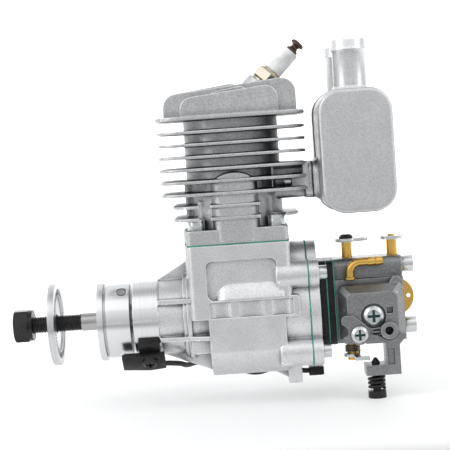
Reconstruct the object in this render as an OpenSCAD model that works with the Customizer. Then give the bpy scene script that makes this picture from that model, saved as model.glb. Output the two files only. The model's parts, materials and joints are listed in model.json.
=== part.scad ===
/* [Crank train] */
// Piston stroke
stroke = 28; // [24:1:28]
// Cylinder bore
bore_d = 34; // [31:0.5:34.5]
// Connecting rod length between its eyes
rod_len = 54; // [53:0.5:55]
// Piston crown above the wrist pin
crown_h = 16; // [14:0.5:16]
// Piston skirt below the wrist pin
skirt_h = 15; // [12:0.5:15]
// Wall of the piston skirt
skirt_wall = 2.6; // [1.6:0.2:3]
// Wrist pin diameter
wrist_d = 9; // [8:0.5:10]
// Wrist pin length
wrist_len = 29; // [25:0.5:30]
// Crankpin diameter
crankpin_d = 8; // [7:0.5:9]
// Wall of the connecting rod eyes
eye_wall = 2; // [1.6:0.1:2.2]
// Width of the rod's big end along the crankshaft
big_end_w = 11; // [9:0.5:12]
// Crank web radius
web_r = 22.5; // [20:0.5:22.5]
// Crank web thickness
web_t = 8.5; // [7:0.5:9]
// Main journal diameter
journal_d = 15; // [14:0.5:16]
// Main bearing outer diameter
bearing_d = 35; // [34:0.5:35]
// Main bearing width
bearing_w = 11; // [9:0.5:11]
// Piston ring height
ring_h = 1.2; // [1:0.1:1.5]

/* [Crankcase] */
// From the mounting face forward to the cylinder axis
cyl_set = 38; // [37.5:0.5:40]
// Width of the cylinder deck across the crankshaft
deck_w = 52.5; // [52:0.5:54]
// Length of the cylinder deck along the crankshaft
deck_len = 49.8; // [49.4:0.2:50.6]
// Corner radius of the deck
deck_r = 3; // [2:0.5:3.5]
// Reach of the pad in front of the deck
pad_out = 1.6; // [1:0.1:2]
// Width of the pad in front of the deck
pad_w = 20; // [16:1:24]
// Deck height above the crank axis
deck_z = 35.9; // [35.5:0.1:36.5]
// Height of the ledge where the upper body starts
ledge_z = 9.2; // [8.8:0.1:10]
// Outside radius of the belly
belly_r = 31; // [30:0.5:32]
// From the cylinder axis forward to the front of the lower body
belly_front = 16.5; // [16:0.5:18]
// From the cylinder axis back to the step behind the lower body
belly_rear = 20.8; // [19:0.2:22]
// Side panel recess depth
panel_depth = 2.4; // [1.5:0.1:2.6]
// Width of a side panel recess
panel_w = 34; // [30:0.5:36]
// Top of a side panel recess
panel_top = 28.3; // [27:0.1:29]
// Radius of the crank chamber that swells out of the side panels
swell_r = 29; // [28:0.2:29.4]
// From the cylinder axis forward to the front of the swelling
swell_front = 14; // [12:0.5:15]
// Depth of the scalloped side pocket
pocket_depth = 2.2; // [1:0.1:2.2]
// Height of the scalloped side pocket
pocket_h = 7.6; // [6:0.1:8]
// Reach of the nose from the cylinder axis to its front face
nose_reach = 53.9; // [53:0.1:55]
// Machined nose ring diameter
nose_d = 39; // [38.8:0.1:40]
// Machined nose ring length
nose_ring_len = 12.6; // [12:0.2:14]
// Thickness of the nose ribs
rib_t = 2.2; // [1.6:0.2:3]
// Height of the side ribs above and below the crank axis
rib_z = 9.3; // [8:0.1:10]
// Radius of the rear screw lugs
lug_r = 6.9; // [6.4:0.1:7]
// Length of the rear screw lugs
lug_len = 15.8; // [12:0.2:16]
// Reach of the foot under the case below its belly
foot_drop = 6; // [4:0.5:7]
// Radius of the boss behind the deck
rear_boss_r = 12; // [11:0.5:12]
// Height of the boss centre behind the deck
rear_boss_z = 21.8; // [21:0.1:22]
// Gasket thickness
gasket_t = 0.5; // [0.3:0.1:0.6]

/* [Backplate and mounting] */
// Backplate thickness
backplate_t = 4.8; // [4:0.1:5.5]
// Space of the mounting screws up and down
mount_sq = 38; // [37:0.5:39]
// Space of the mounting screws across
mount_w = 42; // [41:0.5:43]
// Radius of the rear flange
rear_flange_r = 25.5; // [24.5:0.5:26]
// M4 cap screw head diameter
m4_head_d = 7; // [6.8:0.1:7.2]
// M4 cap screw head height
m4_head_h = 4; // [3.6:0.1:4.2]
// M4 cap screw shank diameter
m4_d = 4; // [3.8:0.1:4]
// M5 cap screw head diameter
m5_head_d = 8.5; // [8.2:0.1:8.6]
// M5 cap screw head height
m5_head_h = 5; // [4.6:0.1:5.2]
// M5 cap screw shank diameter
m5_d = 5; // [4.8:0.1:5]
// Radial clearance round a screw shank
screw_gap = 0.3; // [0.2:0.05:0.4]

/* [Cylinder] */
// Cylinder base flange thickness
flange_t = 7; // [6:0.1:8]
// Side of the square of cylinder bolts
cyl_bolt_sq = 39; // [38.5:0.5:40]
// Barrel outside diameter
barrel_d = 46.9; // [45:0.1:47.5]
// Liner length below the flange
liner_len = 6.4; // [5:0.1:7]
// Liner outside diameter
liner_d = 39.6; // [39:0.2:40]
// Fin length along the crankshaft
fin_len = 71.8; // [68:0.1:72]
// Fin width across the crankshaft
fin_w = 58; // [54:0.5:62]
// Small fin length
small_fin_len = 61.2; // [58:0.1:64]
// Small fin width
small_fin_w = 56; // [54:0.5:58]
// Fin thickness
fin_t = 1.5; // [1.2:0.1:1.8]
// Fin corner radius
fin_r = 12; // [8:0.5:14]
// Fin pitch
fin_pitch = 6.02; // [5.8:0.02:6.1]
// Height of the lowest small fin above the base flange
first_fin = 5.4; // [5.2:0.1:5.6]
// Count of full fins under the head
full_fins = 6; // [4:1:6]
// Transfer passage width
transfer_w = 22; // [18:0.5:24]
// Transfer passage bulge beyond the barrel
transfer_out = 3.6; // [2:0.1:4]
// Top of the transfer passage
transfer_z = 70.5; // [68:0.5:71]
// Round of the transfer passage's edges
transfer_r = 5; // [3:0.5:6]
// Exhaust port width
port_w = 20; // [16:0.5:22]
// Exhaust port height
port_h = 10; // [8:0.5:11]
// Exhaust port centre above the crank axis
port_z = 64.3; // [64:0.1:65]
// Exhaust flange thickness
ex_flange_t = 3.4; // [3:0.1:4]
// Length of the bolt bosses on the exhaust flange
ex_boss_len = 9.3; // [8.5:0.1:10]
// Exhaust flange width
ex_flange_w = 42; // [40:0.5:44]
// Exhaust flange height
ex_flange_h = 17.7; // [17:0.1:19]
// Space of the exhaust flange bolts
ex_bolt_sp = 31; // [30:0.5:32]

/* [Head] */
// Head plate thickness
head_plate_t = 1.8; // [1.4:0.1:2]
// Height of the head plate's underside
head_z = 96.8; // [96.6:0.1:97.4]
// Head fin thickness
head_fin_t = 1.6; // [1.4:0.1:1.8]
// Height of the tall head fins at the front
tall_front_z = 110.5; // [108:0.5:112]
// Height of the tall head fins at the rear
tall_rear_z = 115; // [113:0.5:116]
// Place of the tall head fins from the middle
tall_fin_y = 9.7; // [9.5:0.1:10.5]
// Place of the middle head fins from the middle
mid_fin_y = 15; // [14.5:0.1:16]
// Place of the outer head fins from the middle
low_fin_y = 20.4; // [19.5:0.1:22]

/* [Spark plug] */
// Tilt of the plug from upright
plug_tilt = 45; // [43:0.5:47]
// Plug seat place behind the cylinder axis
plug_seat_x = 17.2; // [16.8:0.1:18]
// Plug seat height above the crank axis
plug_seat_z = 112.4; // [112:0.1:113]
// Plug thread diameter
plug_thread_d = 10; // [9.8:0.1:10]
// Plug thread reach
plug_reach = 9.5; // [9:0.1:12]
// Plug hexagon across flats
plug_hex_af = 14; // [13.5:0.1:14.4]
// Plug hexagon height
plug_hex_h = 5.6; // [5:0.1:7]
// Plug collar diameter
plug_collar_d = 11; // [10.4:0.1:12]
// Plug insulator diameter
insulator_d = 8.6; // [8:0.1:9]
// Plug insulator length above the collar
insulator_len = 13.2; // [12:0.1:15]
// Plug terminal diameter
terminal_d = 6.9; // [6:0.1:7]

/* [Propeller drive] */
// Gap between the nose ring and the hub
hub_gap = 1.6; // [1.2:0.1:2]
// Hub drum diameter
hub_d = 38; // [37:0.5:39]
// Hub drum length
hub_drum_len = 11.6; // [11:0.1:13]
// Hub groove width
hub_groove = 1.4; // [1:0.1:2]
// Hub flange diameter
hub_flange_d = 40.4; // [40:0.2:42]
// Hub flange thickness
hub_flange_t = 3; // [2.5:0.1:4]
// Shaft diameter inside the hub
hub_seat_d = 10; // [9.5:0.1:12]
// Plain propeller shaft diameter
prop_shaft_d = 9.05; // [9:0.01:9.1]
// Plain propeller shaft length
prop_shaft_len = 9.6; // [8:0.2:11]
// Thread diameter on the shaft
thread_d = 8.8; // [8.6:0.05:8.9]
// Length of the threaded end
thread_len = 31.4; // [30:0.2:33]
// Travel of the nut along the bare thread
nut_travel = 24.5; // [22:0.5:25]
// Nut length
nut_len = 9.4; // [8:0.2:10]
// Nut width across flats
nut_af = 15.4; // [14:0.2:17]
// Nut washer face length
nut_face_len = 2.1; // [1.5:0.1:2.5]
// Propeller washer diameter
washer_d = 41.7; // [40:0.1:43]
// Propeller washer thickness
washer_t = 3.2; // [2.6:0.1:3.6]
// Gap between the washer and the nut
washer_gap = 9.9; // [9.85:0.05:10.4]
// Width of the knurled ring on the washer
knurl_w = 4; // [3:0.5:5]
// Count of knurl ridges on the washer
knurl_count = 48; // [24:4:60]
// Magnet diameter in the hub
magnet_d = 4.9; // [4:0.1:5]
// Angle of the magnet above the horizontal
magnet_angle = 52.6; // [30:0.2:80]

/* [Ignition sensor] */
// Angle of the sensor below the horizontal
sensor_angle = 47; // [45:1:50]
// Sensor holder length along the shaft
holder_len = 10.3; // [9:0.1:11]
// Sensor holder width round the ring
holder_w = 16; // [14:0.5:18]
// Sensor holder height above the ring
holder_h = 3.4; // [3:0.1:4.4]
// Sensor bar length
bar_len = 21; // [20:0.5:22]
// Sensor bar width
bar_w = 11; // [9:0.5:12]
// Sensor bar height
bar_h = 3.7; // [3.4:0.1:4.4]
// Shift of the sensor bar down from the middle of its holder
bar_drop = 2.5; // [2:0.1:3]
// Sensor screw head diameter
sensor_screw_d = 7.2; // [6:0.1:7.4]
// Sensor cable diameter
cable_d = 2.6; // [2.4:0.1:2.8]

/* [Muffler] */
// Muffler length along the crankshaft
muffler_len = 35.1; // [33:0.1:36]
// Muffler width across the crankshaft
muffler_w = 84; // [82:0.5:88]
// Muffler height
muffler_h = 58.5; // [56:0.1:60]
// Muffler bottom above the crank axis
muffler_z = 47.9; // [47.6:0.1:50]
// Muffler corner radius
muffler_r = 11; // [9:0.5:12]
// Muffler edge rounding
muffler_edge = 1.6; // [1.2:0.2:2]
// Height of the seam round the middle of the muffler
seam_h = 0.7; // [0.4:0.1:1]
// Muffler wall
muffler_wall = 1.8; // [1.4:0.1:2.4]
// Muffler neck length
neck_len = 3; // [2.6:0.1:4]
// Space between the two outlet pipes
pipe_sp = 52; // [50:0.5:54]
// Outlet pipe outside diameter
pipe_d = 16; // [15.6:0.1:16.2]
// Outlet pipe wall
pipe_wall = 1; // [0.8:0.1:1.2]
// Outlet pipe length above the muffler
pipe_len = 23.5; // [20:0.5:26]
// Outlet pipe bead diameter
bead_d = 17.6; // [17.2:0.1:18]

/* [Induction] */
// Reed block thickness
reed_t = 4; // [3.6:0.1:4.6]
// Insulator thickness
insulator_t = 3.1; // [2.8:0.1:3.6]
// Insulator width
spacer_w = 27; // [26:0.5:27.5]
// Insulator height
spacer_h = 42; // [41:0.5:43]
// Half height of the reed cage at its foot
reed_half = 9.6; // [9.2:0.1:9.8]
// Carburettor bore centre above the crank axis
intake_z = 2.6; // [2.4:0.1:2.8]
// Carburettor bore diameter
carb_bore_d = 19.2; // [18.6:0.1:19.4]
// Space of the carburettor screws
carb_bolt_sp = 31; // [31:0.1:31.4]
// Side offset of the carburettor screws
carb_bolt_y = 6.4; // [6.2:0.1:6.8]
// Carburettor body length
carb_len = 33.7; // [33:0.1:35]
// Carburettor body depth across
carb_w = 26; // [25:0.5:27]
// Carburettor body bottom below the bore centre
carb_low = 20.1; // [19.8:0.1:20.5]
// Carburettor shoulder above the bore centre
carb_shoulder = 11.2; // [11:0.1:11.6]
// Carburettor top above the bore centre
carb_top = 21.2; // [20.8:0.1:21.6]
// Cover thickness on the near side
cover_t = 9; // [8:0.2:9.4]
// Far cover thickness
back_cover_t = 5; // [4:0.2:6]
// Throttle shaft place behind the carburettor's front face
throttle_set = 7.8; // [7.6:0.1:8.2]
// Throttle shaft diameter
throttle_d = 5.2; // [5:0.1:5.2]
// Throttle plate thickness
plate_t = 0.8; // [0.6:0.1:1]
// Choke shaft place behind the throttle shaft
choke_set = 22.5; // [22:0.1:22.8]
// Choke shaft diameter
choke_d = 5.3; // [5:0.1:5.3]
// Lever thickness
lever_t = 1.7; // [1.4:0.1:2]
// Height of the brass posts above the body
post_h = 7; // [6.6:0.1:8]
// Idle screw place behind the throttle shaft
idle_set = 9.4; // [9:0.1:9.8]
// Idle screw head diameter
idle_head_d = 8.9; // [8:0.1:9]
// Height of the foot of the idle bracket below the body
idle_drop = 15.2; // [14.6:0.2:15.6]
// Length of the spring on the idle screw
idle_spring_len = 8.1; // [7.8:0.1:8.4]
// Fuel pipe diameter
fuel_d = 4; // [3.6:0.1:4.2]

/* [Hidden] */
$fn = 48;
fit = 0.05;
play = 0.3;

x_cyl = -cyl_set;
crank_r = stroke / 2;
wrist_z = crank_r + rod_len;
crown_z = wrist_z + crown_h;
bore_r = bore_d / 2;
web_gap = 0.5;
x_web = x_cyl - big_end_w / 2 - web_gap;
x_web_front = x_web - web_t;
x_chamber = x_web_front - 1;
x_rear_bearing = x_web_front - 2.5 - bearing_w;
x_nose = x_cyl - nose_reach;
x_front_bearing = x_nose + 0.9;
x_ring = x_nose + nose_ring_len;
x_hub = x_nose - hub_gap;
hub_len = hub_drum_len + hub_groove + hub_flange_t;
x_hub_front = x_hub - hub_len;
x_thread = x_hub_front - prop_shaft_len;
x_shaft_tip = x_thread - thread_len;
x_nut = x_thread - nut_travel;
x_washer = x_nut + washer_gap;
eye_r = crankpin_d / 2 + 1 + eye_wall;
small_eye_r = wrist_d / 2 + eye_wall;
max_swing = asin(crank_r / rod_len);
chamber_half = crank_r + eye_r + 0.4;
chamber_low_r = norm([crank_r, rod_len * cos(max_swing) - rod_len + crank_r]) + eye_r + 0.6;
chamber_rear_r = 21;
case_half = deck_w / 2;
deck_half = deck_len / 2;
x_pad = x_cyl - deck_half - pad_out;
x_case = -(backplate_t + gasket_t);
x_belly = x_cyl - belly_front;
x_belly_rear = x_cyl + belly_rear;
x_deck_rear = x_cyl + deck_half;
liner_bore_r = liner_d / 2 + play;
base_z = deck_z + gasket_t;
flange_z = base_z + flange_t;
full_fin_z = flange_z + first_fin + 2 * fin_pitch;
lug_y = mount_w / 2;
lug_z = mount_sq / 2;
seat_x = x_cyl + plug_seat_x;
holder_mid = nose_d / 2;
x_holder = x_ring - 0.4 - holder_len;
x_bar = x_holder - 8.6;
x_neck = gasket_t;
x_muffler = x_neck + neck_len;
x_pipe = x_muffler + muffler_len / 2 - 0.4;
muffler_top = muffler_z + muffler_h;
x_insulator = reed_t + gasket_t;
x_carb_gasket = x_insulator + insulator_t;
x_carb = x_carb_gasket + gasket_t;
x_carb_rear = x_carb + carb_len;
x_throttle = x_carb + throttle_set;
x_choke = x_throttle + choke_set;
x_idle = x_throttle + idle_set;
carb_half = carb_w / 2;
carb_z0 = intake_z - carb_low;
carb_z1 = intake_z + carb_top;
carb_bolt_z = intake_z + carb_bolt_sp / 2;
carb_bore_r = carb_bore_d / 2;
y_cover = -carb_half - cover_t;
lever_z = carb_z1 + post_h + 0.8;
stop_z = carb_z0 - 8.6;
foot_z = carb_z0 - idle_drop;
foot_t = 5;
boss_pad = 1.7;

// Route of the sensor cable, from the sensor to its plug
cable_route = [[-77.6, -13.2, -21.5], [-75.4, -13, -21.6], [-73.2, -12, -22], [-71.3, -10.2, -22.5],
    [-69.9, -7.6, -23.3], [-68.8, -4.6, -24.3], [-67.7, -0.6, -25.1], [-66.2, 4, -25.6], [-63.6, 9.6, -25.9],
    [-59, 14.6, -26.7], [-53.6, 17.4, -28.2], [-48, 17.2, -29], [-43, 14.8, -30.4], [-38, 11.4, -32.4],
    [-33, 9.8, -33], [-28, 11, -32.4], [-23, 13.6, -31.2], [-18, 14, -30.8], [-13.4, 10.6, -32],
    [-9.8, 7, -33], [-6.6, 6, -33.2]];

// A cylinder along X from x0 to x1
module bar_x(x0, x1, r) {
    translate([x0, 0, 0]) rotate([0, 90, 0]) cylinder(r = r, h = x1 - x0);
}

// A cylinder along Y from y0 to y1
module bar_y(y0, y1, r) {
    translate([0, y1, 0]) rotate([90, 0, 0]) cylinder(r = r, h = y1 - y0);
}

// A rectangle with true round corners, centred
module round_rect(w, d, r) {
    square([w, d - 2 * r], center = true);
    square([w - 2 * r, d], center = true);
    for (x = [-1, 1], y = [-1, 1]) translate([x * (w / 2 - r), y * (d / 2 - r)]) circle(r = r);
}

// A flat slab lying in the XY plane
module slab(w, d, t, r) {
    linear_extrude(t) round_rect(w, d, r);
}

// An outline in the XZ plane, made thick from y0 to y0 + t
module in_xz(y0, t) {
    translate([0, y0 + t, 0]) rotate([90, 0, 0]) linear_extrude(t) children();
}

// An outline in the YZ plane, made thick from x0 to x0 + t
module in_yz(x0, t) {
    translate([x0, 0, 0]) rotate([90, 0, 90]) linear_extrude(t) children();
}

// Four copies at the mounting screws
module at_mount() {
    for (y = [-1, 1], z = [-1, 1]) translate([0, y * lug_y, z * lug_z]) children();
}

// A cylinder along X whose front end is rounded by e
module peg_x(x0, x1, r, e) {
    rotate([0, 90, 0]) rotate_extrude() polygon(concat([[0, x0]], arc(r - e, x0 + e, e, -90, 0), [[r, x1], [0, x1]]));
}

// Four copies at the corners of a square in the XY plane
module at_square_xy(side) {
    for (x = [-1, 1], y = [-1, 1]) translate([x * side / 2, y * side / 2, 0]) children();
}

// A socket head cap screw: its head stands on z = 0 and its shank hangs below
module cap_screw(head_d, head_h, shank_d, shank_len) {
    socket_af = shank_d * 0.8;
    difference() {
        union() {
            cylinder(d = head_d, h = head_h);
            translate([0, 0, -shank_len]) cylinder(d = shank_d, h = shank_len);
        }
        translate([0, 0, head_h * 0.6]) cylinder(d = socket_af / cos(30), h = head_h, $fn = 6);
    }
}

// A pan head screw with a crossed slot: its head stands on z = 0
module pan_screw(head_d, head_h, shank_d, shank_len) {
    slot_w = head_d * 0.14;
    difference() {
        union() {
            cylinder(d = head_d, h = head_h * 0.6);
            translate([0, 0, head_h * 0.6]) cylinder(d1 = head_d, d2 = head_d * 0.7, h = head_h * 0.4);
            translate([0, 0, -shank_len]) cylinder(d = shank_d, h = shank_len);
        }
        for (turn = [0, 90]) {
            rotate([0, 0, turn]) translate([-head_d * 0.3, -slot_w / 2, head_h * 0.4]) {
                cube([head_d * 0.6, slot_w, head_h]);
            }
        }
    }
}

// Points of an arc
function arc(cx, cy, r, a0, a1, n = 6) =
    [for (i = [0:n]) [cx + r * cos(a0 + (a1 - a0) * i / n), cy + r * sin(a0 + (a1 - a0) * i / n)]];

// Outline of the rear flange, its screw lugs and the boss behind the deck
module rear_outline() {
    circle(r = rear_flange_r);
    for (y = [-1, 1], z = [-1, 1]) translate([y * lug_y, z * lug_z]) circle(r = lug_r);
    translate([0, rear_boss_z]) circle(r = rear_boss_r);
}

// Outline of the deck from above, with the pad at its front
module deck_outline() {
    round_rect(deck_len, deck_w, deck_r);
    translate([-deck_half, 0]) round_rect(2 * pad_out, pad_w, pad_out * 0.8);
}

// Upper body with its side panels, filled low down by the swelling crank chamber
module case_deck() {
    difference() {
        translate([x_cyl, 0, 0]) linear_extrude(deck_z) deck_outline();
        for (side = [-1, 1]) {
            translate([x_cyl + 0.8, side * case_half, (ledge_z + panel_top) / 2]) rotate([90, 0, 0]) {
                translate([0, 0, -panel_depth]) slab(panel_w, panel_top - ledge_z, 2 * panel_depth, 3);
            }
        }
    }
    intersection() {
        peg_x(x_cyl - swell_front, x_belly_rear, swell_r, 8);
        translate([x_cyl - swell_front - 1, -swell_r - 1, ledge_z]) cube([deck_len, 2 * swell_r + 2, panel_top - ledge_z]);
    }
}

// Lower body round the crank chamber, with the block that frames its scalloped pockets
module case_belly() {
    in_yz(x_belly, x_belly_rear - x_belly) intersection() {
        union() {
            circle(r = belly_r);
            translate([-belly_r, 0]) square([2 * belly_r, ledge_z]);
        }
        translate([-case_half, -belly_r]) square([deck_w, belly_r + ledge_z]);
    }
    in_xz(-case_half, deck_w) translate([x_belly_rear + 0.6, ledge_z - pocket_h / 2 - 1]) {
        round_rect(deck_len * 0.27, pocket_h + 3, 2);
    }
}

// Rear flange of the case with the long screw lugs
module case_rear() {
    in_yz(x_deck_rear, x_case - x_deck_rear) rear_outline();
    bar_x(x_belly_rear - 1, x_deck_rear + 1, rear_flange_r - 0.1);
    at_mount() peg_x(x_case - lug_len, x_case, lug_r, 1.6);
}

// Nose that carries the bearings, with its ribs, side blocks and gussets
module case_nose() {
    core_r = bearing_d / 2 + 1.2;
    housing_r = bearing_d / 2 + 3;
    block_half = housing_r - 0.4;
    block_z = rib_z + 7.8;
    bar_x(x_nose, x_ring, nose_d / 2);
    bar_x(x_ring, x_belly + 1, core_r);
    bar_x(x_rear_bearing - 1, x_belly + 1, housing_r);
    in_xz(-rib_t, 2 * rib_t) polygon([[x_ring, 0], [x_ring, core_r + 0.6], [x_pad + 0.8, panel_top],
        [x_belly, panel_top], [x_belly + 1, -belly_r + 2.2], [x_ring + 0.8, -core_r]]);
    for (z = [-rib_z, rib_z]) {
        translate([0, 0, z - rib_t / 2]) linear_extrude(rib_t) polygon([[x_ring, -core_r], [x_pad + 0.4, -core_r - 2],
            [x_belly + 1, -case_half + 2], [x_belly + 1, case_half - 2], [x_pad + 0.4, core_r + 2],
            [x_ring, core_r]]);
    }
    in_xz(-block_half, 2 * block_half) translate([(x_pad + 0.6 + x_belly + 1) / 2, -(block_z + rib_z) / 2]) {
        round_rect(x_belly + 0.4 - x_pad, block_z - rib_z, 2);
    }
    bar_x(x_pad - 0.6, x_pad - 0.6 + rib_t, housing_r + 1.2);
}

// Hollow of the crank chamber and the space for the swinging rod
module case_hollow() {
    x_rod_rear = x_cyl + big_end_w / 2 + 1;
    bar_x(x_chamber, x_web + web_gap / 2, web_r + 0.7);
    in_yz(x_web, x_rod_rear - x_web) intersection() {
        union() {
            circle(r = chamber_low_r);
            translate([-chamber_half, 0]) square([2 * chamber_half, deck_z]);
        }
        square([2 * chamber_half, 4 * chamber_low_r], center = true);
    }
    bar_x(x_rod_rear - 1, x_case + 1, chamber_rear_r);
    translate([x_cyl, 0, wrist_z - stroke - skirt_h - 0.8]) cylinder(r = liner_bore_r, h = deck_z);
    bar_x(x_rear_bearing, x_chamber + 1, bearing_d / 2);
    bar_x(x_front_bearing - 2, x_front_bearing + bearing_w, bearing_d / 2);
    bar_x(x_nose - 1, x_rear_bearing + 1, journal_d / 2 + 2);
    bar_x(x_front_bearing + bearing_w - 1, x_front_bearing + bearing_w + 4, journal_d / 2 + 4.5);
}

// Scalloped pockets low on both sides, a wide scallop between two narrow ones
module case_pockets() {
    pocket_len = 40.4;
    wide = 16.8;
    narrow = (pocket_len - wide) / 2;
    for (side = [-1, 1]) {
        translate([x_cyl + 4.6, 0, ledge_z - 1 - pocket_h]) {
            translate([-pocket_len / 2, side > 0 ? case_half - 0.8 : -case_half - 2, 0]) {
                cube([pocket_len, 2.8, pocket_h]);
            }
            for (x = [-1, 1]) translate([x * (wide + narrow) / 2, side * (case_half - pocket_depth + 8), 0]) {
                cylinder(r = 8, h = pocket_h);
            }
            translate([0, side * (case_half - pocket_depth + 15), 0]) cylinder(r = 15, h = pocket_h);
        }
    }
}

// Foot under the rear of the case, with the rib that runs into it
module case_foot() {
    foot_half = lug_y / 4;
    x_foot = x_belly_rear;
    translate([x_foot, -foot_half, -belly_r - foot_drop]) cube([lug_r, 2 * foot_half, foot_drop + belly_r / 4]);
    in_xz(-rib_t / 2, rib_t) polygon([[x_foot - 2 * foot_drop, -belly_r + 3], [x_foot + 1, -belly_r + 3],
        [x_foot + 1, -belly_r - foot_drop * 0.7]]);
}

module crankcase() {
    color("silver") difference() {
        union() {
            case_deck();
            case_belly();
            case_rear();
            case_nose();
            case_foot();
        }
        case_hollow();
        case_pockets();
        at_mount() bar_x(x_case - 12, x_case + 1, m4_d / 2 + screw_gap);
        translate([x_cyl, 0, deck_z - 14]) at_square_xy(cyl_bolt_sq) cylinder(d = m5_d + 2 * screw_gap, h = 15);
    }
}

// A ball bearing shown by its rings and its shield
module ball_bearing(x0) {
    difference() {
        bar_x(x0, x0 + bearing_w, bearing_d / 2);
        bar_x(x0 - 1, x0 + bearing_w + 1, journal_d / 2 + fit);
        for (x = [x0 - 1, x0 + bearing_w - 0.5]) {
            difference() {
                bar_x(x, x + 1.5, bearing_d / 2 - 3);
                bar_x(x - 1, x + 3, journal_d / 2 + 2.5);
            }
        }
    }
}

module front_bearing() {
    color("gainsboro") ball_bearing(x_front_bearing);
}

module rear_bearing() {
    color("gainsboro") ball_bearing(x_rear_bearing);
}

module oil_seal() {
    x0 = x_front_bearing + bearing_w;
    color("saddlebrown") difference() {
        bar_x(x0, x0 + 4, journal_d / 2 + 4.5);
        bar_x(x0 - 1, x0 + 5, journal_d / 2 + fit);
    }
}

module backplate_gasket() {
    color("mediumseagreen") difference() {
        in_yz(x_case, gasket_t) rear_outline();
        bar_x(x_case - 1, 0, chamber_rear_r);
        at_mount() bar_x(x_case - 1, 0, m4_d / 2 + screw_gap);
    }
}

// The two holes that the carburettor screws pass through
module carb_screw_holes(x0, x1) {
    for (z = [-1, 1]) {
        translate([0, carb_bolt_y, intake_z + z * carb_bolt_sp / 2]) bar_x(x0, x1, m5_d / 2 + screw_gap);
    }
}

// Window that the reed cage passes through
module reed_window(x0, x1, gap) {
    in_yz(x0, x1 - x0) translate([0, intake_z]) square([18 + 2 * gap, 20 + 2 * gap], center = true);
}

module backplate() {
    color("silver") difference() {
        in_yz(-backplate_t, backplate_t) rear_outline();
        reed_window(-backplate_t - 1, 1, play);
        at_mount() bar_x(-backplate_t - 1, 1, m4_d / 2 + screw_gap);
        carb_screw_holes(-backplate_t - 1, 1);
    }
}

module backplate_screws() {
    color("gainsboro") at_mount() rotate([0, 90, 0]) {
        cap_screw(m4_head_d, m4_head_h, m4_d, backplate_t + gasket_t + 10);
    }
}

module base_gasket() {
    color("mediumseagreen") translate([x_cyl, 0, deck_z]) difference() {
        linear_extrude(gasket_t) deck_outline();
        translate([0, 0, -1]) cylinder(r = liner_bore_r, h = 3);
        translate([0, 0, -1]) at_square_xy(cyl_bolt_sq) cylinder(d = m5_d + 2 * screw_gap, h = 3);
    }
}

// Outline of a head fin with a sloping top and round upper corners
module head_fin(x0, x1, z_front, z_rear, r) {
    slope = atan((z_rear - z_front) / (x1 - x0));
    polygon(concat([[x0, head_z]], arc(x0 + r, z_front - r, r, 180, 90 + slope),
        arc(x1 - r, z_rear - r, r, 90 + slope, 0), [[x1, head_z]]));
}

// A head fin on each side of the middle
module fin_pair(y) {
    for (side = [-1, 1]) in_xz(side * y - head_fin_t / 2, head_fin_t) children();
}

// Small fins under the full ones, parted beside the transfer passages
module small_fins() {
    gap_y = barrel_d / 2 - 6;
    x_gap = transfer_w / 2 + 1.1;
    for (i = [0:1]) {
        translate([0, 0, flange_z + first_fin + i * fin_pitch - fin_t / 2]) difference() {
            slab(small_fin_len, small_fin_w, fin_t, fin_r);
            for (side = [-1, 1]) translate([0, side * (gap_y + 10), fin_t / 2]) {
                translate([-x_gap - 2.7, 0, 0]) cube([5.4, 20, 2 * fin_t], center = true);
                translate([x_gap + 6, 0, 0]) cube([12, 20, 2 * fin_t], center = true);
            }
            if (i == 1) translate([x_gap, -fin_w, -1]) cube([fin_len, 2 * fin_w, fin_t + 2]);
        }
    }
}

// Bulges of the transfer passages, round at their edges and arched on top
module transfer_bulges() {
    low = base_z + 1;
    arch_r = transfer_w * 0.7;
    intersection() {
        translate([0, 0, low]) slab(transfer_w, barrel_d + 2 * transfer_out, transfer_z - low, transfer_r);
        in_xz(-barrel_d, 2 * barrel_d) {
            translate([0, transfer_z - arch_r]) circle(r = arch_r);
            translate([-transfer_w, low]) square([2 * transfer_w, transfer_z - arch_r - low]);
        }
    }
}

// Cheeks and bolt bosses that tie the exhaust flange to the fins, with their windows
module exhaust_cheeks() {
    cheek_y = ex_bolt_sp / 2 + m4_head_d / 2 + 0.6;
    z1 = full_fin_z;
    z2 = full_fin_z + fin_pitch;
    z3 = full_fin_z + 2 * fin_pitch;
    for (side = [-1, 1]) {
        difference() {
            in_xz(side * (cheek_y + 0.9) - 0.9, 1.8) {
                translate([-19.6, z1]) square([18, z3 - z1]);
            }
            in_xz(side * (cheek_y + 0.9) - 3, 6) {
                translate([-14.4, (z1 + z2) / 2]) round_rect(9, fin_pitch - fin_t - 0.4, 1);
                translate([-11.4, (z2 + z3) / 2]) round_rect(14, fin_pitch - fin_t - 0.6, 1);
            }
        }
        translate([-ex_boss_len, side > 0 ? port_w / 2 + 1 : -cheek_y - 1, z1]) {
            cube([ex_boss_len - 1, cheek_y - port_w / 2, fin_pitch]);
        }
    }
}

// Full fins and the plate of the head
module barrel_fins() {
    for (i = [0:full_fins - 1]) {
        translate([0, 0, full_fin_z + i * fin_pitch - fin_t / 2]) slab(fin_len, fin_w, fin_t, fin_r);
    }
    translate([0, 0, head_z]) slab(fin_len + 0.8, fin_w + 0.8, head_plate_t, fin_r);
}

// Plug axis: children are placed with z along the plug from its seat outwards
module on_plug() {
    translate([seat_x, 0, plug_seat_z]) rotate([0, plug_tilt, 0]) children();
}

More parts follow.
